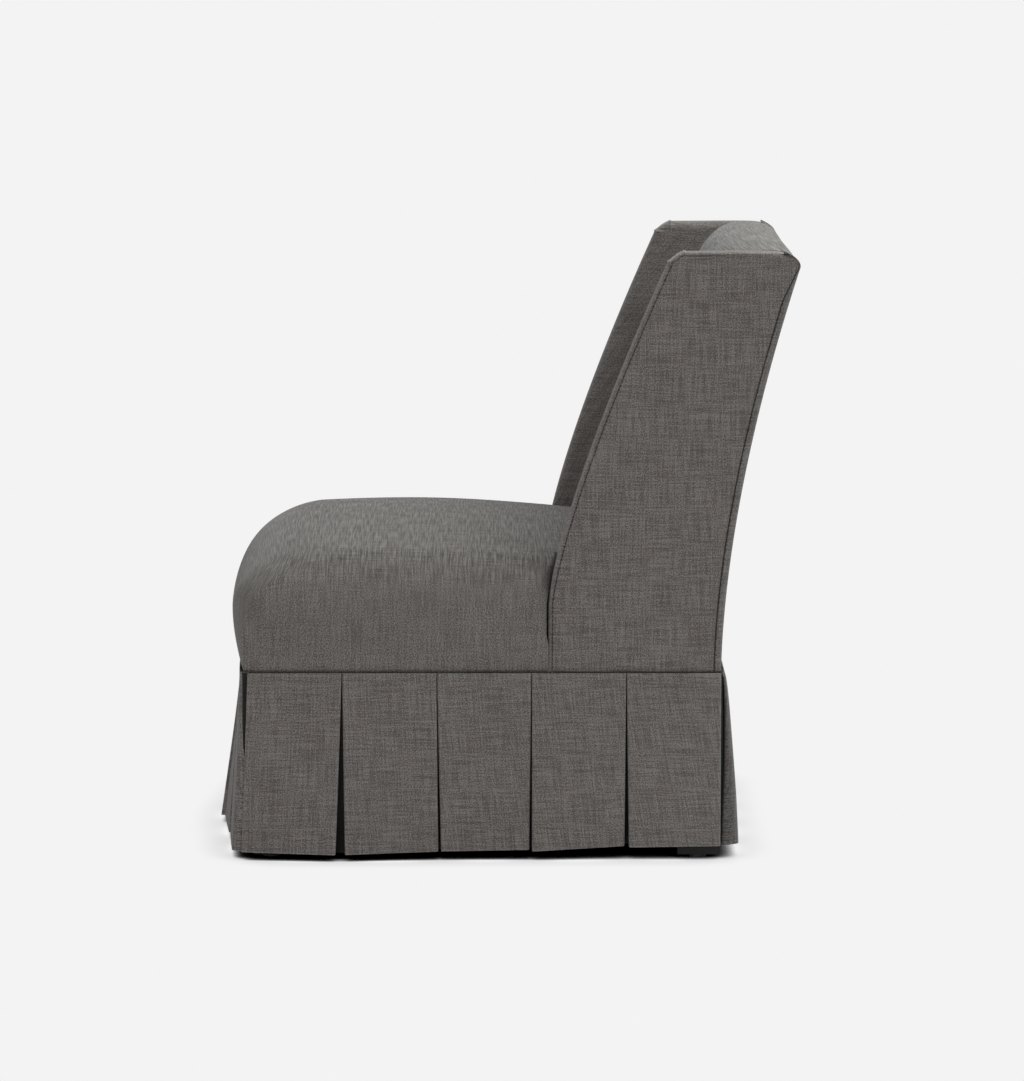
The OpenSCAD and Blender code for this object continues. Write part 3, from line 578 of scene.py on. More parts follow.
def wing_insides(side, name):
    """The stile, with its rear edge parallel to its front, and the pad, whose rear edge follows the back."""
    node = f"wing_stile_{name}"
    front, _, high = cut_front(node)
    deep = high.y - float(edge_y(high.z)) - stile_space
    rear = [(y + deep, h) for y, h in front[:-1]] + [(high.y, high.z)]
    stile = board(f"wing_stile_sawn_{name}", front + rear[::-1], *across_between(node, side))
    node = f"wing_pad_{name}"
    front, z, high = cut_front(node)
    rear = [(float(rear_y(h) - rear_y(high.z)) + high.y, h) for h in z] + [(high.y, high.z)]
    pad = board(f"wing_pad_trimmed_{name}", front + rear[::-1], *across_between(node, side))
    return stile, pad


stile_left, pad_left = wing_insides(1, "left")
stile_right, pad_right = wing_insides(-1, "right")
print("stile and pad points", len(stile_left.data.vertices), len(pad_left.data.vertices))

# %% [markdown]
# ## The inside back
# The inside back is a padded form that rises out of the seat, leans with the back and rolls over a
# crown between the wings. It could be a rounded box, but the crown is squarer behind than in front, and
# fuller in the middle than beside the wings. So each column of the grid is the side profile at one
# place across the chair, and both sides fold in, down into the crease beside the wing.

# %% Inside back surface
back_linen_t = 0.002
back_fold_in = 0.008
back_swell = 0.018
back_foot_z = seat_top_z - 0.16
back_round = 0.105
back_tuck = 0.012
side_tuck = 0.0012
ridge_share = 0.55
crown_drop = 0.026
crown_seam_in = 0.0010
arch_z = wing_top_z - back_round
back_end_z = wing_top_z - crown_drop
back_crown = crown_top_z - wing_top_z - 0.0012
back_half_w = wing_x - gap
back_uneven = 0.0015
ridge_shift = 0.10


def inside_back_surface():
    """Points and cloth coordinates of the face, which swells as a sine up its height, and of the crown:
    a quarter of an ellipse in front of the ridge and a fuller quarter behind it."""
    across = np.sin(np.linspace(-np.pi / 2, np.pi / 2, 97))[:, None]
    full = 1 - np.abs(across) ** 2.4
    top = wing_top_z + back_crown * full
    up = np.linspace(0, 1, 61)[None]
    z_face = back_foot_z + (arch_z - back_foot_z) * up
    rise = np.clip((z_face - seat_top_z) / (arch_z - seat_top_z), 0, 1)
    tuck = back_tuck * (1 - full) * rise + side_tuck * np.abs(across) ** 18
    y_face = rear_y(z_face) - back_t - back_swell * full * np.sin(np.pi * rise) + tuck
    front = y_face[:, -1:]
    end = rear_y(back_end_z) - crown_seam_in
    ridge = front + (end - front) * (ridge_share + ridge_shift * across ** 2)
    fuller = 2 / (2.15 + 0.5 * across ** 2)
    a = np.linspace(0, np.pi / 2, 25)[None, 1:]
    y = np.concatenate([y_face, ridge - (ridge - front) * np.cos(a),
                        ridge + (end - ridge) * np.sin(a) ** fuller], 1)
    z = np.concatenate([z_face + 0 * full, arch_z + (top - arch_z) * np.sin(a),
                        back_end_z + (top - back_end_z) * np.clip(np.cos(a), 0, 1) ** fuller], 1)
    x = back_half_w * across + 0 * y
    y = y + back_uneven * ripple(x, z, 12, 0.3)
    step = np.hypot(np.diff(y, axis=1, prepend=y[:, :1]), np.diff(z, axis=1, prepend=z[:, :1]))
    uv = np.stack([x, np.cumsum(step, 1)], -1)
    points = np.stack([x, y, z], -1)
    # one more column at each side, folded in towards the middle of the padding
    inward = np.stack([0 * x, ridge - y, np.minimum(z, arch_z) - z], -1)
    inward = inward / np.linalg.norm(inward, axis=-1, keepdims=True)
    folded = points + back_fold_in * inward
    points = np.concatenate([folded[:1], points, folded[-1:]])
    beside = np.array([back_fold_in, 0])
    return points, np.concatenate([uv[:1] - beside, uv, uv[-1:] + beside])


inside_back = grid_sheet("inside_back_linen", *inside_back_surface(), flip=True)
thicken(inside_back, back_linen_t)
print("inside back points", len(inside_back.data.vertices))

# %% [markdown]
# ## The outside back
# The outside back is one flat panel that follows the sweep of the posts. At each side it wraps 10 mm
# round the corner onto the wing, where a seam holds it to the wing's outer panel. A flat sheet would
# be simpler, but the wrap and its seam show from the side, so the columns turn the corner too.

# %% Outside back surface
back_corner_r = 0.005
wrap_seam_in = 0.0014
wrap_seam_half_w = 0.0010
wrap_painted_shade_half_w = 0.0009
back_top_in = 0.0004
back_foot_in = 0.0014
crown_step_out = 0.004
crown_step_w = 0.0012
crown_step_h = crown_drop + 0.001


def outside_back_surface():
    """Columns run from one side wrap, round the corner, over the back and onto the other wrap."""
    r = back_corner_r
    turn = np.linspace(0, np.pi / 2, 9)
    wrap = spaced(wrap_w, (wrap_w - 0.002, 6), (r, 4))[:-1]
    in_x = np.concatenate([0 * wrap, r - r * np.cos(turn)])
    in_y = np.concatenate([wrap, r - r * np.sin(turn)])
    across = spaced(half_w - r, (0.300, 4), (0.280, 24), (-0.280, 52), (-0.300, 24), (-half_w + r, 4))[1:-1]
    x = np.concatenate([half_w - in_x, across, -(half_w - in_x[::-1])])
    inset = np.concatenate([in_y, 0 * across, in_y[::-1]])
    share = spaced(0, (0.012, 6), (0.95, 80), (1, 24))[:, None]
    # behind the crown the panel ends lower, at the crown's seam, with a smooth step beside the wings
    low = 1 / (1 + np.exp((np.abs(x) - wing_x - crown_step_out) / crown_step_w))
    foot_z = seam_z - tuck_h
    z = foot_z + (wing_top_z - back_top_in - crown_step_h * low - foot_z) * share
    seam = np.exp(-((inset - wrap_w) / wrap_seam_half_w) ** 2) * wrap_seam_in
    foot = back_foot_in * np.exp(-np.clip(z - seam_z, 0, 1) / foot_in_h)
    x = (np.sign(x) * (np.abs(x) - seam))[None] * (1 - foot / half_w)
    puff = puff_out * ripple(x, z, 21, 0.45) * np.clip((half_w - np.abs(x)) / puff_edge, 0, 1)
    y = rear_limit(z) - inset[None] * wrap_at(z) / wrap_w + puff - foot
    uv = np.stack([x + np.sign(x) * inset[None], z], -1)
    # painted shade in the wrap's seam and at the foot
    shade = -rear_seam_painted_shade * np.exp(-((inset - wrap_w) / wrap_painted_shade_half_w) ** 2)[None] * seam_end(z)
    shade = np.clip(shade - seam_painted_shade * seam_painted_shade_at(z), -deepest_painted_shade, 0)
    return np.stack([x, y, z], -1), uv, shade


outside_back = grid_sheet("outside_back_linen", *outside_back_surface())
thicken(outside_back, wing_linen_t)
print("outside back points", len(outside_back.data.vertices))

# %% [markdown]
# ## The skirt
# The skirt is a lined strip of linen laid in box pleats: flat panels whose edges fold back under
# themselves, with more cloth behind each gap. A simulation could let it hang, but the folds in the
# photograph stand at given places, so each one's place and flare is named. Drawn flat, one row of the
# grid is the folded line of the cloth seen from above: along the panel, back under it, across behind
# the gap and out again. Down the drop the panels flare, the gaps open and the layers part.

# %% Skirt surface
mm = 0.001
skirt_t = 0.0013
layer_t = skirt_t + gap
heading_t = 3 * layer_t
pleat_return = 0.036
fold_r = 0.0009
# how far the layers have parted at the hem, and how a flare grows with the drop
part_at_hem = 0.008
part_power = 1.3
flare_power = 1.15
back_flare_power = 0.6
# painted shade: the returns and the cloth behind the gaps lie behind another layer and are drawn nearly
# black; painted highlights lie along the folds and the hem
behind_painted_shade = 0.94
rim_painted_highlight = 0.20
rim_painted_highlight_w = 0.0012
return_painted_highlight = 0.1
# how the folds move apart down the drop, and the unevenness of hanging cloth
ease_power = 1.1
panel_bow = 0.0022
bow_place = 1.4
skirt_wave = 0.0014
hem_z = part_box("skirt_front")[0].z
rear_hem_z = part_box("skirt_back")[0].z


def fold_line(edges):
    """Folded middle line of one row. edges are the panels' (start, end) along the skirt. Returns s, the
    layer number, and the panel that each point belongs to."""
    s, level, panel = [], [], []

    def run(values, n, k):
        """Adds points of panel k on layer n: 0 in front, 1 for the returns, 2 behind the gap."""
        s.extend(values)
        level.extend([n] * len(values))
        panel.extend([k] * len(values))

    first, last = edges[0], edges[-1]
    run(np.linspace(first[0] + pleat_return, first[0] + fold_r, 8), 1, 0)
    for k, (start, end) in enumerate(edges):
        run([start], 0.5, k)
        run(spaced(start + fold_r, (start + 0.012, 8), (end - 0.012, 17), (end - fold_r, 8)), 0, k)
        run([end], 0.5, k)
        if k < len(edges) - 1:
            other = edges[k + 1][0]
            middle = (end + other) / 2
            run(np.linspace(end - fold_r, middle - pleat_return, 8), 1, k)
            run([middle - pleat_return - fold_r], 1.5, k)
            run(np.linspace(middle - pleat_return, middle + pleat_return, 12), 2, k)
            run([middle + pleat_return + fold_r], 1.5, k + 1)
            run(np.linspace(middle + pleat_return, other + fold_r, 8), 1, k + 1)
    run(np.linspace(last[1] - fold_r, last[1] - pleat_return, 8), 1, len(edges) - 1)
    return np.array(s), np.array(level), np.array(panel)


def skirt_sheet(name, length, top_edges, hem_edges, flares, hems, curve=flare_power, base_bow=0.0,
                roll=(0, 0, 0.01, 0)):
    """A skirt drawn flat: s along it, n out from the body, z down. flares are each panel's stand at the
    hem at its (start, end), hems the heights of the hem there. roll is how far the outer ends turn in at
    the top and at the hem, over what width, and how much painted shade darkens them there."""
    roll_top, roll_hem, roll_w, roll_painted_shade = roll
    flares, hems = np.array(flares), np.array(hems)
    points, uv, shade = [], [], []
    for drop in spaced(0, (0.98, 33), (1, 4)):
        # the panels' edges move from their places at the seam to those at the hem
        ease = drop ** ease_power
        edges = [(a + (c - a) * ease, b + (d - b) * ease) for (a, b), (c, d) in zip(top_edges, hem_edges)]
        s, level, panel = fold_line(edges)
        start, end = np.array([e[0] for e in edges])[panel], np.array([e[1] for e in edges])[panel]
        share = np.clip((s - start) / (end - start), 0, 1)
        flare = (flares[panel, 0] + (flares[panel, 1] - flares[panel, 0]) * share) * drop ** curve
        hem = hems[panel, 0] + (hems[panel, 1] - hems[panel, 0]) * share
        depth = level * (layer_t + part_at_hem * drop ** part_power)
        # a front panel bows in slightly, and the whole strip waves more towards the hem
        deepest = np.sin(np.pi * min(1, drop * bow_place))
        bow = panel_bow * np.sin(np.pi * share) * deepest * (level < 0.6)
        wave = skirt_wave * ripple(s, drop * 0.25, 31 + len(name), 0.21) * drop
        to_end = np.minimum(s - edges[0][0], edges[-1][1] - s)
        near_end = np.clip(1 - to_end / roll_w, 0, 1)
        turned = (roll_top + (roll_hem - roll_top) * drop) * near_end ** 2
        n = heading_t - skirt_t / 2 - depth + flare - bow - turned + wave
        n = n + base_bow * (1 - (2 * s / length - 1) ** 2)
        z = seam_z - gap - drop * (seam_z - gap - hem)
        points.append(np.stack([s, n, z], -1))
        walk = np.concatenate([[0], np.cumsum(np.hypot(np.diff(s), np.diff(level) * layer_t))])
        uv.append(np.stack([walk, z], -1))
        # painted highlights on the folds and the hem, painted shade on the ends that turn in, and nearly
        # black painted shade on what lies behind another layer
        to_fold = np.minimum(np.abs(s - start), np.abs(s - end))
        rim = rim_painted_highlight * np.exp(-to_fold / rim_painted_highlight_w) + rim_painted_highlight * (drop > 0.99)
        front_shade = np.where(level > 0.25, return_painted_highlight, rim) - roll_painted_shade * near_end
        shade.append(np.where(level > 0.75, -behind_painted_shade, front_shade))
    return np.array(points), np.array(uv), np.array(shade)


def place_skirt(name, flat_skirt, along, out, start, flip):
    """Sets a flat skirt round the body: along and out are unit directions in plan, start its corner."""
    sheet, uv, shade = flat_skirt
    s, n, z = sheet[..., 0:1], sheet[..., 1:2], sheet[..., 2:3]
    plan = np.array(start) + s * np.array(along) + n * np.array(out)
    obj = grid_sheet(name, np.concatenate([plan, z], -1), uv, shade, flip)
    return thicken(obj, skirt_t, 0.0)


def even_edges(length, count, slack=0.0010):
    """Panels of one width with a small slack at each fold."""
    pitch = length / count
    return [(i * pitch + slack, (i + 1) * pitch - slack) for i in range(count)]


def in_metres(*pairs):
    """Pairs of millimetres as pairs of metres, one for each panel."""
    return [(a * mm, b * mm) for a, b in pairs]


corner_set = 0.006
side_length = body_d - corner_set
side_top = even_edges(side_length, 5)
# where the folds of each side panel hang at the hem, measured back from the body's front corner
side_hem = in_metres((-8.5, 124.5), (139, 270.5), (275.5, 400), (405, 535.5), (543, 672))
side_flares = in_metres((13, 25), (24, 14), (13, 11), (14, 9), (9, 9))
side_hems = in_metres((12, 10), (10, 13), (13, 15), (13, 20), (18, 20))
side_skirt = skirt_sheet("skirt_linen_left", side_length, side_top, side_hem, side_flares, side_hems)
side_start = y_front + corner_set
skirt_left = place_skirt("skirt_linen_left", side_skirt, (0, 1), (1, 0), (half_w, side_start), True)
skirt_right = place_skirt("skirt_linen_right", side_skirt, (0, 1), (-1, 0), (-half_w, side_start), False)

front_top = even_edges(2 * half_w, 5)
front_hem = in_metres((-4, 129), (134, 261), (267, 393), (399, 526), (531, 664))
front_flares = in_metres((12, 16), (18, 28), (34, 34), (28, 18), (16, 12))
front_hems = in_metres((12, 11)) * 5
front_skirt = skirt_sheet("skirt_linen_front", 2 * half_w, front_top, front_hem, front_flares, front_hems,
                          base_bow=seat_bow, roll=(0.0125, 0.009, 0.010, 0.0))
skirt_front = place_skirt("skirt_linen_front", front_skirt, (1, 0), (0, -1), (-half_w, y_front), True)

back_flares = in_metres((22, 22)) * 5
back_hems = in_metres((20, 20)) * 5
back_skirt = skirt_sheet("skirt_linen_back", 2 * half_w, front_top, front_hem, back_flares, back_hems,
                         back_flare_power, roll=(0.002, 0.018, 0.016, 0.6))
skirt_back = place_skirt("skirt_linen_back", back_skirt, (1, 0), (0, 1), (-half_w, y_back), False)
print("skirt points", len(skirt_left.data.vertices))

# %% [markdown]
# ## The cloth behind the corners
# On a real skirt one strip goes round the corner behind the gap between two end panels. It could be
# part of a side's skirt, but then that strip would have to be folded in two directions. So it is a
# piece of its own that turns the corner close to the body and stands out behind both returns.

# %% Corner cloth
corner_fold_r = 0.003
corner_stand = 0.0008
corner_space = 0.0013


def corner_cloth(name, side, way, y, hem, side_flare, end_flare, end_curve):
    """The strip behind one corner. Its stand grows from the corner to its ends as a power of the share of
    the way, up to where the skirts' returns hang. side and way are the corner's signs of x and y."""
    reach = pleat_return + corner_set
    path = spaced(-reach, (-0.003, 12), (0.003, 6), (reach, 12))
    drop = np.linspace(0, 1, 20)[:, None]
    behind = heading_t - skirt_t / 2 - layer_t - part_at_hem * drop ** part_power - corner_space
    end_stand = behind + end_flare * drop ** end_curve
    side_stand = behind + side_flare * drop ** flare_power
    end = np.where(path < 0, end_stand, side_stand)
    stand = corner_stand + (end - corner_stand) * (np.abs(path) / reach) ** 1.3
    along_end, along_side = np.where(path < 0, -path, 0), np.where(path > 0, path, 0)
    near = np.clip(1 - np.abs(path) / corner_fold_r, 0, 1) * corner_fold_r * 0.3
    x = half_w - along_end + np.where(path < 0, corner_stand, stand) - near
    yy = y - way * along_side + way * (np.where(path < 0, stand, corner_stand) - near)
    z = seam_z - gap - drop * (seam_z - gap - hem) + 0 * path
    points = np.stack([side * x + 0 * drop, yy + 0 * drop, z], -1)
    uv = np.stack([path + 0 * drop, z], -1)
    # the whole strip is painted shade, drawn nearly black behind the returns
    obj = grid_sheet(name, points, uv, np.full(z.shape, -behind_painted_shade), side * way < 0)
    return thicken(obj, skirt_t, 0.0)


corner_rows = (
    ("front", -1, y_front, hem_z, side_flares[0][0], front_flares[0][0], flare_power),
    ("back", 1, y_back, rear_hem_z, side_flares[-1][1], back_flares[0][0], back_flare_power),
)
corners = {}
for side, side_name in ((1, "left"), (-1, "right")):
    for way_name, way, *rest in corner_rows:
        label = f"{way_name}_{side_name}"
        corners[label] = corner_cloth(f"corner_linen_{label}", side, way, *rest)
print("corner cloths", sorted(corners))

# %% [markdown]
# ## The dust cloth
# A thin black cloth closes the seat from below. On the real chair it is stapled under the rails and cut
# out round the four legs, and it hangs a little between them. It could be a flat plane, but a grid
# with a slow sag and a few ripples looks like cloth that was pulled out by hand.

# %% Dust cloth
dust_thickness = 0.0006
dust_sag = 0.004
dust_ripple = 0.0015
leg_clearance = 0.0006


def dust_surface():
    """A level grid cut out round the legs, which sags as a parabola across and half a sine wave along."""
    low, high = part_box("dust_cover")
    leg_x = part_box("front_leg_left")[0].x - leg_clearance
    leg_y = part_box("front_leg_left")[1].y + leg_clearance
    post_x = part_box("back_post_left")[0].x - leg_clearance
    post_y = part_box("back_post_left")[0].y - leg_clearance
    half = spaced(0, (leg_x, 30), (post_x, 2), (high.x, 3))
    across = np.concatenate([-half[:0:-1], half])
    along = spaced(low.y, (leg_y, 5), (post_y, 56), (high.y, 6))
    y, x = np.meshgrid(along, across, indexing="ij")
    hang = (1 - (x / high.x) ** 2) * np.sin(np.pi * (y - low.y) / (high.y - low.y))
    z = high.z - dust_thickness - hang * (dust_sag + dust_ripple * ripple(x, y, 6, 0.25))
    points = np.stack([x, y, z], -1).reshape(-1, 3)
    faces = grid_faces(len(along), len(across))[:, ::-1]
    centre = points[faces].mean(1)
    at_leg = (np.abs(centre[:, 0]) > leg_x) & (centre[:, 1] < leg_y)
    at_post = (np.abs(centre[:, 0]) > post_x) & (centre[:, 1] > post_y)
    kept, corner = np.unique(faces[~(at_leg | at_post)], return_inverse=True)
    return points[kept], corner.reshape(-1, 4)


dust_sheet = thicken(new_mesh("dust_cloth_sheet", *dust_surface()), dust_thickness)
print("dust cloth points", len(dust_sheet.data.vertices))

# %% [markdown]
# ## Hand stitches
# The outer panel is sewn to the wing cover with small slanting stitches that show as a row of dots in
# the seam. They could be painted on as a texture, but as forms they catch the light and cast small
# shadows. Each stitch is a short lens shape of a few faces, set along the seam at an even step.

# %% Stitches
stitch_l = 0.0032
stitch_w = 0.0014
stitch_step = 0.0062
stitch_slant = 0.35
first_stitch = 0.006
stitch_in = 0.0014


def stitch_row(name, centres, along, out):
    """Lens shaped stitches: six sided rings from tip to tip, whose radius follows the root of a sine, at
    each centre and along a direction."""
    t = np.linspace(0, 1, 6)
    a = np.linspace(0, 2 * np.pi, 7)[:-1]
    radius = stitch_w / 2 * np.sqrt(np.sin(np.pi * np.clip(t, 0.03, 0.97)))
    side = np.cross(along, out)
    ring = np.cos(a)[:, None, None] * side[None] + np.sin(a)[:, None, None] * out[None]
    body = (centres[None, None] + (t[:, None, None, None] - 0.5) * stitch_l * along[None, None]
            + radius[:, None, None, None] * ring[None])
    body = body.transpose(2, 0, 1, 3)
    count, rings, sides = body.shape[:3]
    first_tip = list(range(sides))[::-1]
    last_tip = list(range((rings - 1) * sides, rings * sides))
    one = grid_faces(rings, sides, loop=True).tolist() + [first_tip, last_tip]
    faces = [[i + k * rings * sides for i in f] for k in range(count) for f in one]
    flat = body.reshape(-1, 3)
    return new_mesh(name, flat, faces, flat[:, [1, 2]])


def wing_stitches(side, name):
    """Stitches down the front seam of a wing's outer side."""
    z = np.arange(seam_z + first_stitch, wing_top_z - corner_h, stitch_step)
    slope = np.gradient(front_limit(z), z)
    y = front_limit(z) + lip_w * np.sqrt(1 + slope ** 2)
    along = np.stack([0 * z, slope + stitch_slant, 1 + 0 * z], -1)
    along /= np.linalg.norm(along, axis=1)[:, None]
    out = np.repeat([[side * 1.0, 0, 0]], len(z), 0)
    centres = np.stack([0 * z + side * (half_w - stitch_in), y, z], -1)
    return stitch_row(f"wing_stitches_{name}", centres, along, out)


stitches_left = wing_stitches(1, "left")
stitches_right = wing_stitches(-1, "right")
print("stitch faces", len(stitches_left.data.polygons))

# %% [markdown]
# ## The linen
# The cloth is a charcoal linen weave: fine light and dark threads both ways, with thicker slubs. A
# photograph of cloth could be laid on it, but a weave made of noise has no edges and works at any
# size. Stretched noise stands for threads: long along the thread, narrow across it. The weave is a
# node group, because every cover uses it. It reads the cloth's own coordinates in metres, so the
# threads follow each piece, and it gives a colour, a height and a roughness.

# %% Linen group
def group_with(name, inputs, outputs):
    """An empty shader group with named sockets."""
    group = bpy.data.node_groups.new(name, "ShaderNodeTree")
    for kind, names in (("INPUT", inputs), ("OUTPUT", outputs)):
        for label, socket, value in names:
            item = group.interface.new_socket(label, in_out=kind, socket_type=socket)
            if value is not None:
                item.default_value = value
    return group, group.nodes.new("NodeGroupInput"), group.nodes.new("NodeGroupOutput")


# noise cells per metre along the cloth's two coordinates; the third number isn't used
thread_scale = (480, 950, 1)
slub_scale = (20, 430, 1)
run_scale = (12, 95, 1)
mottle_scale = (14, 15, 1)
dye_scale = (200, 200, 1)
# how much each kind of noise adds to the tone, and how much of the dye shows
thread_tone = 0.80
run_tone = 0.20
mottle_tone = 0.06
dye_share = 0.48
# the woven relief: waves in radians per metre, and the heights of weave, threads and slubs
weave_waves = 7000.0
weave_height = 0.25
thread_height = 0.5
slub_height = 0.4
# noise runs from 0 to 1, and is stretched to run from -2 to 2
noise_gain = 4.0
noise_shift = -2.0
rough_dark = 0.95
rough_light = 0.84


def turned(scale):
    """The same scale with its two directions exchanged."""
    return scale[1], scale[0], scale[2]


def linen_group():
    """Threads both ways, slubs both ways and slow mottling, from a cloth coordinate in metres."""
    group, given, result = group_with(
        "linen weave",
        [("Cloth", "NodeSocketVector", None),
         ("Dark", "NodeSocketColor", (0.05, 0.04, 0.037, 1)),
         ("Middle", "NodeSocketColor", (0.1, 0.09, 0.085, 1)),
         ("Light", "NodeSocketColor", (0.2, 0.19, 0.185, 1)),
         ("Warm", "NodeSocketColor", (0.13, 0.085, 0.072, 1)),
         ("Cool", "NodeSocketColor", (0.08, 0.1, 0.1, 1)),
         ("Upright", "NodeSocketFloat", 0.5),
         ("Streaks", "NodeSocketFloat", 0.75)],
        [("Color", "NodeSocketColor", None),
         ("Height", "NodeSocketFloat", None),
         ("Roughness", "NodeSocketFloat", None)])
    nodes, links = group.nodes, group.links

    def plug(node, socket, value):
        """Sets an input to a number, or links another node's output to it."""
        if isinstance(value, (int, float)):
            node.inputs[socket].default_value = value
        else:
            links.new(value, node.inputs[socket])

    def maths(operation, a, b, c=0.0):
        """One operation on numbers or outputs; MULTIPLY_ADD gives a times b, plus c."""
        node = nodes.new("ShaderNodeMath")
        node.operation = operation
        for i, value in enumerate((a, b, c)):
            plug(node, i, value)
        return node.outputs[0]

    def stretched(label, scale, detail, rough=0.6):
        """Noise over the cloth, squeezed by its own scale each way and centred on zero."""
        mapping = nodes.new("ShaderNodeMapping")
        mapping.inputs["Scale"].default_value = scale
        noise = nodes.new("ShaderNodeTexNoise")
        noise.label = label
        noise.inputs["Scale"].default_value = 1.0
        noise.inputs["Detail"].default_value = detail
        noise.inputs["Roughness"].default_value = rough
        links.new(given.outputs["Cloth"], mapping.inputs["Vector"])
        links.new(mapping.outputs["Vector"], noise.inputs["Vector"])
        return maths("MULTIPLY_ADD", noise.outputs["Fac"], noise_gain, noise_shift)

    def both_ways(label, scale, detail):
        """Noise along the cloth's first coordinate and along its second, shared out by Upright."""
        lying = maths("MULTIPLY", stretched(f"level {label}", scale, detail), level)
        standing = stretched(f"upright {label}", turned(scale), detail)
        return maths("MULTIPLY_ADD", standing, given.outputs["Upright"], lying)

    def blend(amount, first, second):
        """A colour between two others."""
        node = nodes.new("ShaderNodeMix")
        node.data_type = "RGBA"
        plug(node, "Factor", amount)
        links.new(first, node.inputs[6])
        links.new(second, node.inputs[7])
        return node.outputs[2]

    def clipped(value, low, high, to_low=0.0, to_high=1.0):
        """A value from low to high, moved in proportion to to_low and to_high and held there."""
        node = nodes.new("ShaderNodeMapRange")
        for i, number in enumerate((low, high, to_low, to_high), 1):
            node.inputs[i].default_value = number
        links.new(value, node.inputs[0])
        return node.outputs[0]

    level = maths("SUBTRACT", 1.0, given.outputs["Upright"])
    weft = stretched("weft threads", thread_scale, 1)
    warp = stretched("warp threads", turned(thread_scale), 1)
    fine = maths("ADD", weft, warp)
    slubs = both_ways("slubs", slub_scale, 1)
    runs = both_ways("runs", run_scale, 2)
    mottle = stretched("mottling", mottle_scale, 2)
    tone = maths("MULTIPLY_ADD", fine, thread_tone, 0.5)
    tone = maths("MULTIPLY_ADD", slubs, given.outputs["Streaks"], tone)
    tone = maths("MULTIPLY_ADD", runs, run_tone, tone)
    tone = maths("MULTIPLY_ADD", mottle, mottle_tone, tone)
    low = blend(clipped(tone, 0.0, 0.5), given.outputs["Dark"], given.outputs["Middle"])
    high = blend(clipped(tone, 0.5, 1.0), low, given.outputs["Light"])
    tint = maths("MULTIPLY_ADD", stretched("dye", dye_scale, 3, 0.7), 0.6, 0.5)
    dyed = blend(clipped(tint, 0.0, 1.0), given.outputs["Warm"], given.outputs["Cool"])
    links.new(blend(dye_share, high, dyed), result.inputs["Color"])
    split = nodes.new("ShaderNodeSeparateXYZ")
    links.new(given.outputs["Cloth"], split.inputs[0])
    across = maths("SINE", maths("MULTIPLY", split.outputs[0], weave_waves), 0.0)
    along = maths("SINE", maths("MULTIPLY", split.outputs[1], weave_waves), 0.0)
    woven = maths("MULTIPLY", across, along)
    height = maths("MULTIPLY_ADD", woven, weave_height, maths("MULTIPLY", fine, thread_height))
    links.new(maths("MULTIPLY_ADD", slubs, slub_height, height), result.inputs["Height"])
    links.new(clipped(tone, 0, 1, rough_dark, rough_light), result.inputs["Roughness"])
    return group


linen = linen_group()
print("linen weave nodes", len(linen.nodes))

# %% [markdown]
# ## Three linen materials
# All covers are cut from one cloth, so one material could serve them all, with the light doing the
# rest. The colours and slubs were set against averages measured on the photograph, and those are
# matched more closely when the seat and the inside back have colours and slubs of their own. The
# inside back's lighter colours are painted light, for its crown that faces the overhead lamp.

# %% Linen materials
weave_relief = 0.0003
linen_specular = 0.25
linen_sheen = 0.12
# upright cloth has a normal whose z is under the first number, level cloth over the second
lying_from = 0.3
lying_to = 0.9


def new_material(name):
    """A material with its nodes, its links and its main shader."""
    material = bpy.data.materials.new(name)
    material.use_nodes = True
    nodes, links = material.node_tree.nodes, material.node_tree.links
    return material, nodes, links, nodes["Principled BSDF"]


def give_relief(nodes, links, shader, height, strength, distance):
    """Tilts the shader's normal as a surface of that height would, without moving the surface."""
    lift = nodes.new("ShaderNodeBump")
    lift.inputs["Strength"].default_value = strength
    lift.inputs["Distance"].default_value = distance
    links.new(height, lift.inputs["Height"])
    links.new(lift.outputs["Normal"], shader.inputs["Normal"])


def linen_material(name, dark, middle, light, upright=0.5, streaks=0.75, top_streaks=None):
    """The woven cloth with its own colours, on the cloth's coordinates. Where top_streaks is given, the
    slubs have that strength on level cloth and streaks on upright cloth, as on a seat's top and sides."""
    material, nodes, links, shader = new_material(name)
    weave = nodes.new("ShaderNodeGroup")
    weave.node_tree = linen
    cloth = nodes.new("ShaderNodeUVMap")
    cloth.uv_map = "cloth"
    links.new(cloth.outputs["UV"], weave.inputs["Cloth"])
    for label, colour in (("Dark", dark), ("Middle", middle), ("Light", light)):
        weave.inputs[label].default_value = (*colour, 1)
    weave.inputs["Upright"].default_value = upright
    weave.inputs["Streaks"].default_value = streaks
    if top_streaks is not None:
        facing = nodes.new("ShaderNodeNewGeometry")
        split = nodes.new("ShaderNodeSeparateXYZ")
        lying = nodes.new("ShaderNodeMapRange")
        lying.inputs["From Min"].default_value = lying_from
        lying.inputs["From Max"].default_value = lying_to
        lying.inputs["To Min"].default_value = streaks
        lying.inputs["To Max"].default_value = top_streaks
        links.new(facing.outputs["Normal"], split.inputs[0])
        links.new(split.outputs["Z"], lying.inputs["Value"])
        links.new(lying.outputs["Result"], weave.inputs["Streaks"])
    # the weave's colour is scaled by one plus the shade of the surface
    shade = nodes.new("ShaderNodeAttribute")
    shade.attribute_name = "shade"
    lightness = nodes.new("ShaderNodeMath")
    lightness.inputs[1].default_value = 1.0
    toned = nodes.new("ShaderNodeVectorMath")
    toned.operation = "SCALE"
    links.new(shade.outputs["Fac"], lightness.inputs[0])
    links.new(lightness.outputs[0], toned.inputs["Scale"])
    links.new(weave.outputs["Color"], toned.inputs[0])
    links.new(toned.outputs[0], shader.inputs["Base Color"])
    links.new(weave.outputs["Roughness"], shader.inputs["Roughness"])
    give_relief(nodes, links, shader, weave.outputs["Height"], 0.35, weave_relief)
    shader.inputs["Specular IOR Level"].default_value = linen_specular
    shader.inputs["Sheen Weight"].default_value = linen_sheen
    shader.inputs["Sheen Roughness"].default_value = 0.5
    return material


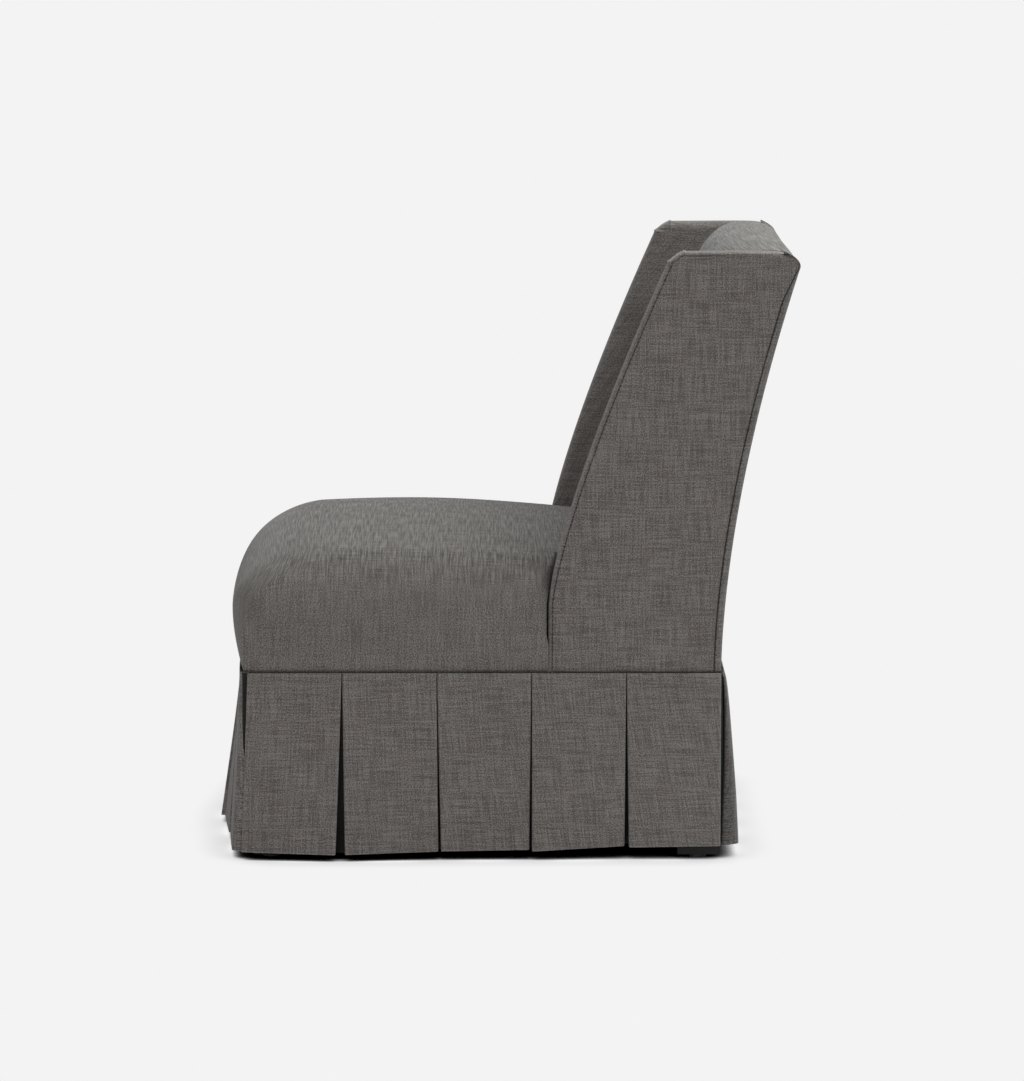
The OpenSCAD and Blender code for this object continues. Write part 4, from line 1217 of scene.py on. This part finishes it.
linen_cloth = linen_material("charcoal linen", (0.030, 0.024, 0.022), (0.108, 0.096, 0.090),
                             (0.245, 0.230, 0.222))
seat_cloth = linen_material("charcoal linen, seat", (0.026, 0.021, 0.019), (0.110, 0.099, 0.092),
                            (0.250, 0.238, 0.228), upright=0.35, streaks=0.4, top_streaks=1.5)
# painted light: the inside back's cloth is a lighter copy, for the crown lit from above
lit_crown_cloth = linen_material("charcoal linen, inside back, painted light", (0.030, 0.025, 0.023), (0.128, 0.117, 0.110),
                             (0.290, 0.280, 0.270), upright=0.25, streaks=1.1)
print("linen materials", [cloth.name for cloth in (linen_cloth, seat_cloth, lit_crown_cloth)])

# %% [markdown]
# ## Inside finishes
# The hidden parts show from below and when a cover is taken off, so each has its own finish: sawn
# hardwood with its grain, foam with its pores, hessian, and sprung steel. Flat colours would do for
# parts that are seldom seen, but one group of stretched and round noise on Object coordinates gives
# them all some grain for little work.

# %% Inside finishes
grain_relief = 0.0005


def grain_group():
    """Two colours mixed by noise that is stretched by a vector, with a height."""
    group, given, result = group_with(
        "grain",
        [("Stretch", "NodeSocketVector", (1, 1, 1)),
         ("First", "NodeSocketColor", (0.5, 0.4, 0.3, 1)),
         ("Second", "NodeSocketColor", (0.3, 0.2, 0.1, 1))],
        [("Color", "NodeSocketColor", None),
         ("Height", "NodeSocketFloat", None)])
    nodes, links = group.nodes, group.links
    place = nodes.new("ShaderNodeTexCoord")
    times = nodes.new("ShaderNodeVectorMath")
    times.operation = "MULTIPLY"
    noise = nodes.new("ShaderNodeTexNoise")
    noise.inputs["Scale"].default_value = 1.0
    noise.inputs["Detail"].default_value = 4.0
    blend = nodes.new("ShaderNodeMix")
    blend.data_type = "RGBA"
    links.new(place.outputs["Object"], times.inputs[0])
    links.new(given.outputs["Stretch"], times.inputs[1])
    links.new(times.outputs[0], noise.inputs["Vector"])
    links.new(noise.outputs["Fac"], blend.inputs["Factor"])
    links.new(given.outputs["First"], blend.inputs[6])
    links.new(given.outputs["Second"], blend.inputs[7])
    links.new(blend.outputs[2], result.inputs["Color"])
    links.new(noise.outputs["Fac"], result.inputs["Height"])
    return group


grain = grain_group()


def grained(name, stretch, first, second, roughness, metallic=0.0, bump=0.2):
    """A finish from the grain group, with its own colours and stretch."""
    material, nodes, links, shader = new_material(name)
    made = nodes.new("ShaderNodeGroup")
    made.node_tree = grain
    made.inputs["Stretch"].default_value = stretch
    made.inputs["First"].default_value = (*first, 1)
    made.inputs["Second"].default_value = (*second, 1)
    links.new(made.outputs["Color"], shader.inputs["Base Color"])
    give_relief(nodes, links, shader, made.outputs["Height"], bump, grain_relief)
    shader.inputs["Roughness"].default_value = roughness
    shader.inputs["Metallic"].default_value = metallic
    return material


along_grain = (60, 60, 6)
finishes = {
    "hardwood": grained("sawn hardwood", along_grain, (0.5, 0.34, 0.19), (0.3, 0.18, 0.09), 0.65),
    "foam": grained("upholstery foam", (500,) * 3, (0.85, 0.78, 0.55), (0.7, 0.6, 0.36), 0.95, bump=0.6),
    "hessian": grained("hessian", (300,) * 3, (0.42, 0.31, 0.17), (0.22, 0.15, 0.08), 0.95, bump=0.8),
    "dust_cloth": grained("dust cloth", (400,) * 3, (0.012, 0.012, 0.012), (0.03, 0.03, 0.03), 0.9),
    # the tack card is drawn near black, as painted shade where it shows in the gap at the skirt's seam
    "tack_card": grained("tack card", (90,) * 3, (0.03, 0.026, 0.023), (0.018, 0.016, 0.014), 0.9),
    "spring_steel": grained("spring steel", (40,) * 3, (0.45, 0.45, 0.46), (0.32, 0.32, 0.34), 0.35, 1.0),
    "glide_plastic": grained("nylon glide", (200,) * 3, (0.008, 0.008, 0.008), (0.012, 0.012, 0.012), 0.7),
}
# the legs and back posts are drawn near black, as painted shade for the dark under the skirt
legs_hardwood_painted_shade = grained("hardwood, near black as painted shade", along_grain, (0.008, 0.006, 0.005), (0.004, 0.003, 0.0025), 0.8)
thread = grained("sewing thread", (900,) * 3, (0.012, 0.010, 0.009), (0.022, 0.019, 0.018), 0.9)
legs = ("front_leg_left", "front_leg_right", "back_post_left", "back_post_right")
for part in frame["record"]["subparts"]:
    finish = legs_hardwood_painted_shade if part["node"] in legs else finishes.get(part["material_slot"])
    if finish:
        node = nodes[part["node"]]
        node.data.materials.clear()
        node.data.materials.append(finish)
print("finishes", sorted(finishes))

# %% [markdown]
# ## Dressing the frame
# On a real chair the covers go on last, and each hides what it is stapled to. Here each cover rides on
# the one body, takes its cloth, and stands in for the plain solid that holds its place. The sheets'
# areas are printed.

# %% Dress
def dress(obj, material, *replaced):
    """Gives a piece its cloth and its body, and hides the nodes that it stands for."""
    obj.data.materials.clear()
    obj.data.materials.append(material)
    if replaced:
        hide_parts(*replaced)
    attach(obj, "root")


def fit(obj, slot, node):
    """Gives a hidden piece a slot's finish and its body, and hides the node that it stands for."""
    obj.data.materials.append(finishes[slot])
    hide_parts(node)
    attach(obj, "root")


def cloth_area(obj):
    """Area of the sheet before it gets its thickness."""
    return sum(face.area for face in obj.data.polygons)


for stile, pad, name in ((stile_left, pad_left, "left"), (stile_right, pad_right, "right")):
    fit(stile, "hardwood", f"wing_stile_{name}")
    fit(pad, "foam", f"wing_pad_{name}")

dress(seat, seat_cloth, "seat_cover")
dress(inside_back, lit_crown_cloth, "inside_back_cover")

sheets = [
    (wing_panel_left, "wing_outer_panel_left", "stretched"),
    (wing_panel_right, "wing_outer_panel_right", "stretched"),
    (wing_cover_left, "wing_cover_left", "stretched"),
    (wing_cover_right, "wing_cover_right", "stretched"),
    (outside_back, "outside_back_cover", "stretched"),
    (skirt_left, "skirt_left", "gathered"),
    (skirt_right, "skirt_right", "gathered"),
    (skirt_front, "skirt_front", "gathered"),
    (skirt_back, "skirt_back", "gathered"),
]
sheets += [(obj, f"corner_pleat_{label}", "hung") for label, obj in corners.items()]
for obj, node, _ in sheets:
    dress(obj, linen_cloth, node)
for obj in (stitches_left, stitches_right):
    dress(obj, thread)
fit(dust_sheet, "dust_cloth", "dust_cover")
print("sheets", [(obj.name, round(cloth_area(obj), 3)) for obj, _, _ in sheets])

# %% [markdown]
# ## The studio
# The photograph has a plain pale background. A bent backdrop could give one too, but its own shading
# would have to be matched. So the floor and the world show the camera one pale grey, and the floor
# darkens only where the chair keeps light from it. A wide soft lamp overhead makes the seat and the
# crown lighter than the sides, as in the photograph, and a larger one stands on the camera's side.

# %% Studio
pale = 0.896
world_light = 0.55
floor_half_w = 20
openness_samples = 24


def show_camera(nodes, links, lit, shown, output):
    """Lets the camera's own rays see one shader, while all other light meets another one."""
    mix = nodes.new("ShaderNodeMixShader")
    path = nodes.new("ShaderNodeLightPath")
    links.new(path.outputs["Is Camera Ray"], mix.inputs[0])
    links.new(lit.outputs[0], mix.inputs[1])
    links.new(shown.outputs[0], mix.inputs[2])
    links.new(mix.outputs[0], nodes[output].inputs[0])


def studio_world():
    """White light all round; the camera sees the pale background instead."""
    world = bpy.data.worlds.new("studio")
    bpy.context.scene.world = world
    world.use_nodes = True
    nodes, links = world.node_tree.nodes, world.node_tree.links
    light = nodes["Background"]
    light.inputs["Color"].default_value = (1, 1, 1, 1)
    light.inputs["Strength"].default_value = world_light
    shown = nodes.new("ShaderNodeBackground")
    shown.inputs["Color"].default_value = (pale, pale, pale, 1)
    show_camera(nodes, links, light, shown, "World Output")


def contact_shade(nodes, links, reach, dark, clear):
    """How open a floor point is to the room within a reach, stretched from dark (0) to clear (1)."""
    openness = nodes.new("ShaderNodeAmbientOcclusion")
    openness.samples = openness_samples
    openness.inputs["Distance"].default_value = reach
    curve = nodes.new("ShaderNodeMapRange")
    curve.inputs["From Min"].default_value = dark
    curve.inputs["From Max"].default_value = clear
    links.new(openness.outputs["AO"], curve.inputs["Value"])
    return curve.outputs["Result"]


def product(nodes, links, first, second):
    """One output times another output or a number."""
    node = nodes.new("ShaderNodeMath")
    node.operation = "MULTIPLY"
    links.new(first, node.inputs[0])
    if isinstance(second, float):
        node.inputs[1].default_value = second
    else:
        links.new(second, node.inputs[1])
    return node.outputs[0]


def studio_floor():
    """A large floor that shows the camera pale grey, less where the chair shades it from close by. The
    brightness is the openness far under the chair, times that close beside it, times the pale grey."""
    size = floor_half_w
    square = np.array([[-size, -size, 0], [size, -size, 0], [size, size, 0], [-size, size, 0]])
    floor = new_mesh("floor", square, [[0, 1, 2, 3]])
    material, nodes, links, shader = new_material("studio floor")
    shader.inputs["Base Color"].default_value = (0.8, 0.8, 0.8, 1)
    shader.inputs["Roughness"].default_value = 1.0
    under = contact_shade(nodes, links, reach=0.7, dark=0.15, clear=0.45)
    beside = contact_shade(nodes, links, reach=0.1, dark=-0.245, clear=0.82)
    shown = nodes.new("ShaderNodeEmission")
    bright = product(nodes, links, product(nodes, links, under, beside), pale)
    links.new(bright, shown.inputs["Strength"])
    show_camera(nodes, links, shader, shown, "Material Output")
    floor.data.materials.append(material)


def soft_lamp(name, place, target, size, power, tint):
    """A square area lamp that faces a target point."""
    data = bpy.data.lights.new(name, "AREA")
    data.size = size
    data.energy = power
    data.color = tint
    lamp = bpy.data.objects.new(name, data)
    away = np.array(place) - np.array(target)
    lean = math.acos(away[2] / np.linalg.norm(away))
    heading = math.atan2(away[1], away[0]) + math.pi / 2
    lamp.location = place
    lamp.rotation_euler = (lean, 0, heading)
    bpy.context.collection.objects.link(lamp)


studio_world()
studio_floor()
soft_lamp("overhead", place=(0.2, 1.6, 2.8), target=(0, 0, 0.5), size=1.6, power=86,
          tint=(0.93, 1.0, 0.985))
soft_lamp("camera side", place=(4.5, -1.5, 1.4), target=(0, 0, 0.45), size=3.0, power=47,
          tint=(1.0, 0.985, 0.975))
print("studio", [lamp.name for lamp in bpy.data.lights])

# %% [markdown]
# ## The camera
# The photograph looks square at the sitter's left side from about seven metres, a little above the
# chair and tilted down. A camera could be placed by eye. Here its distance comes from how far the two
# wings' tops stand apart in the picture, with the body taken as 660 mm wide, and its tilt from where
# the chair's cross lines meet above it.

# %% Camera
camera_distance = 7.086
camera_height = 1.370
camera_y = 0.0093
focal_px = 4822
image_h = 1081
tilt = math.radians(7.695)
data = bpy.data.cameras.new("camera")
data.sensor_width = 36
data.lens = focal_px / image_h * data.sensor_width
camera = bpy.data.objects.new("camera", data)
camera.location = (camera_distance, camera_y, camera_height)
camera.rotation_euler = (math.pi / 2 - tilt, 0, math.pi / 2)
bpy.context.collection.objects.link(camera)
bpy.context.scene.camera = camera
bpy.context.scene.view_settings.view_transform = "Standard"
print("camera at", tuple(round(v, 3) for v in camera.location), "lens", round(data.lens, 2), "mm")
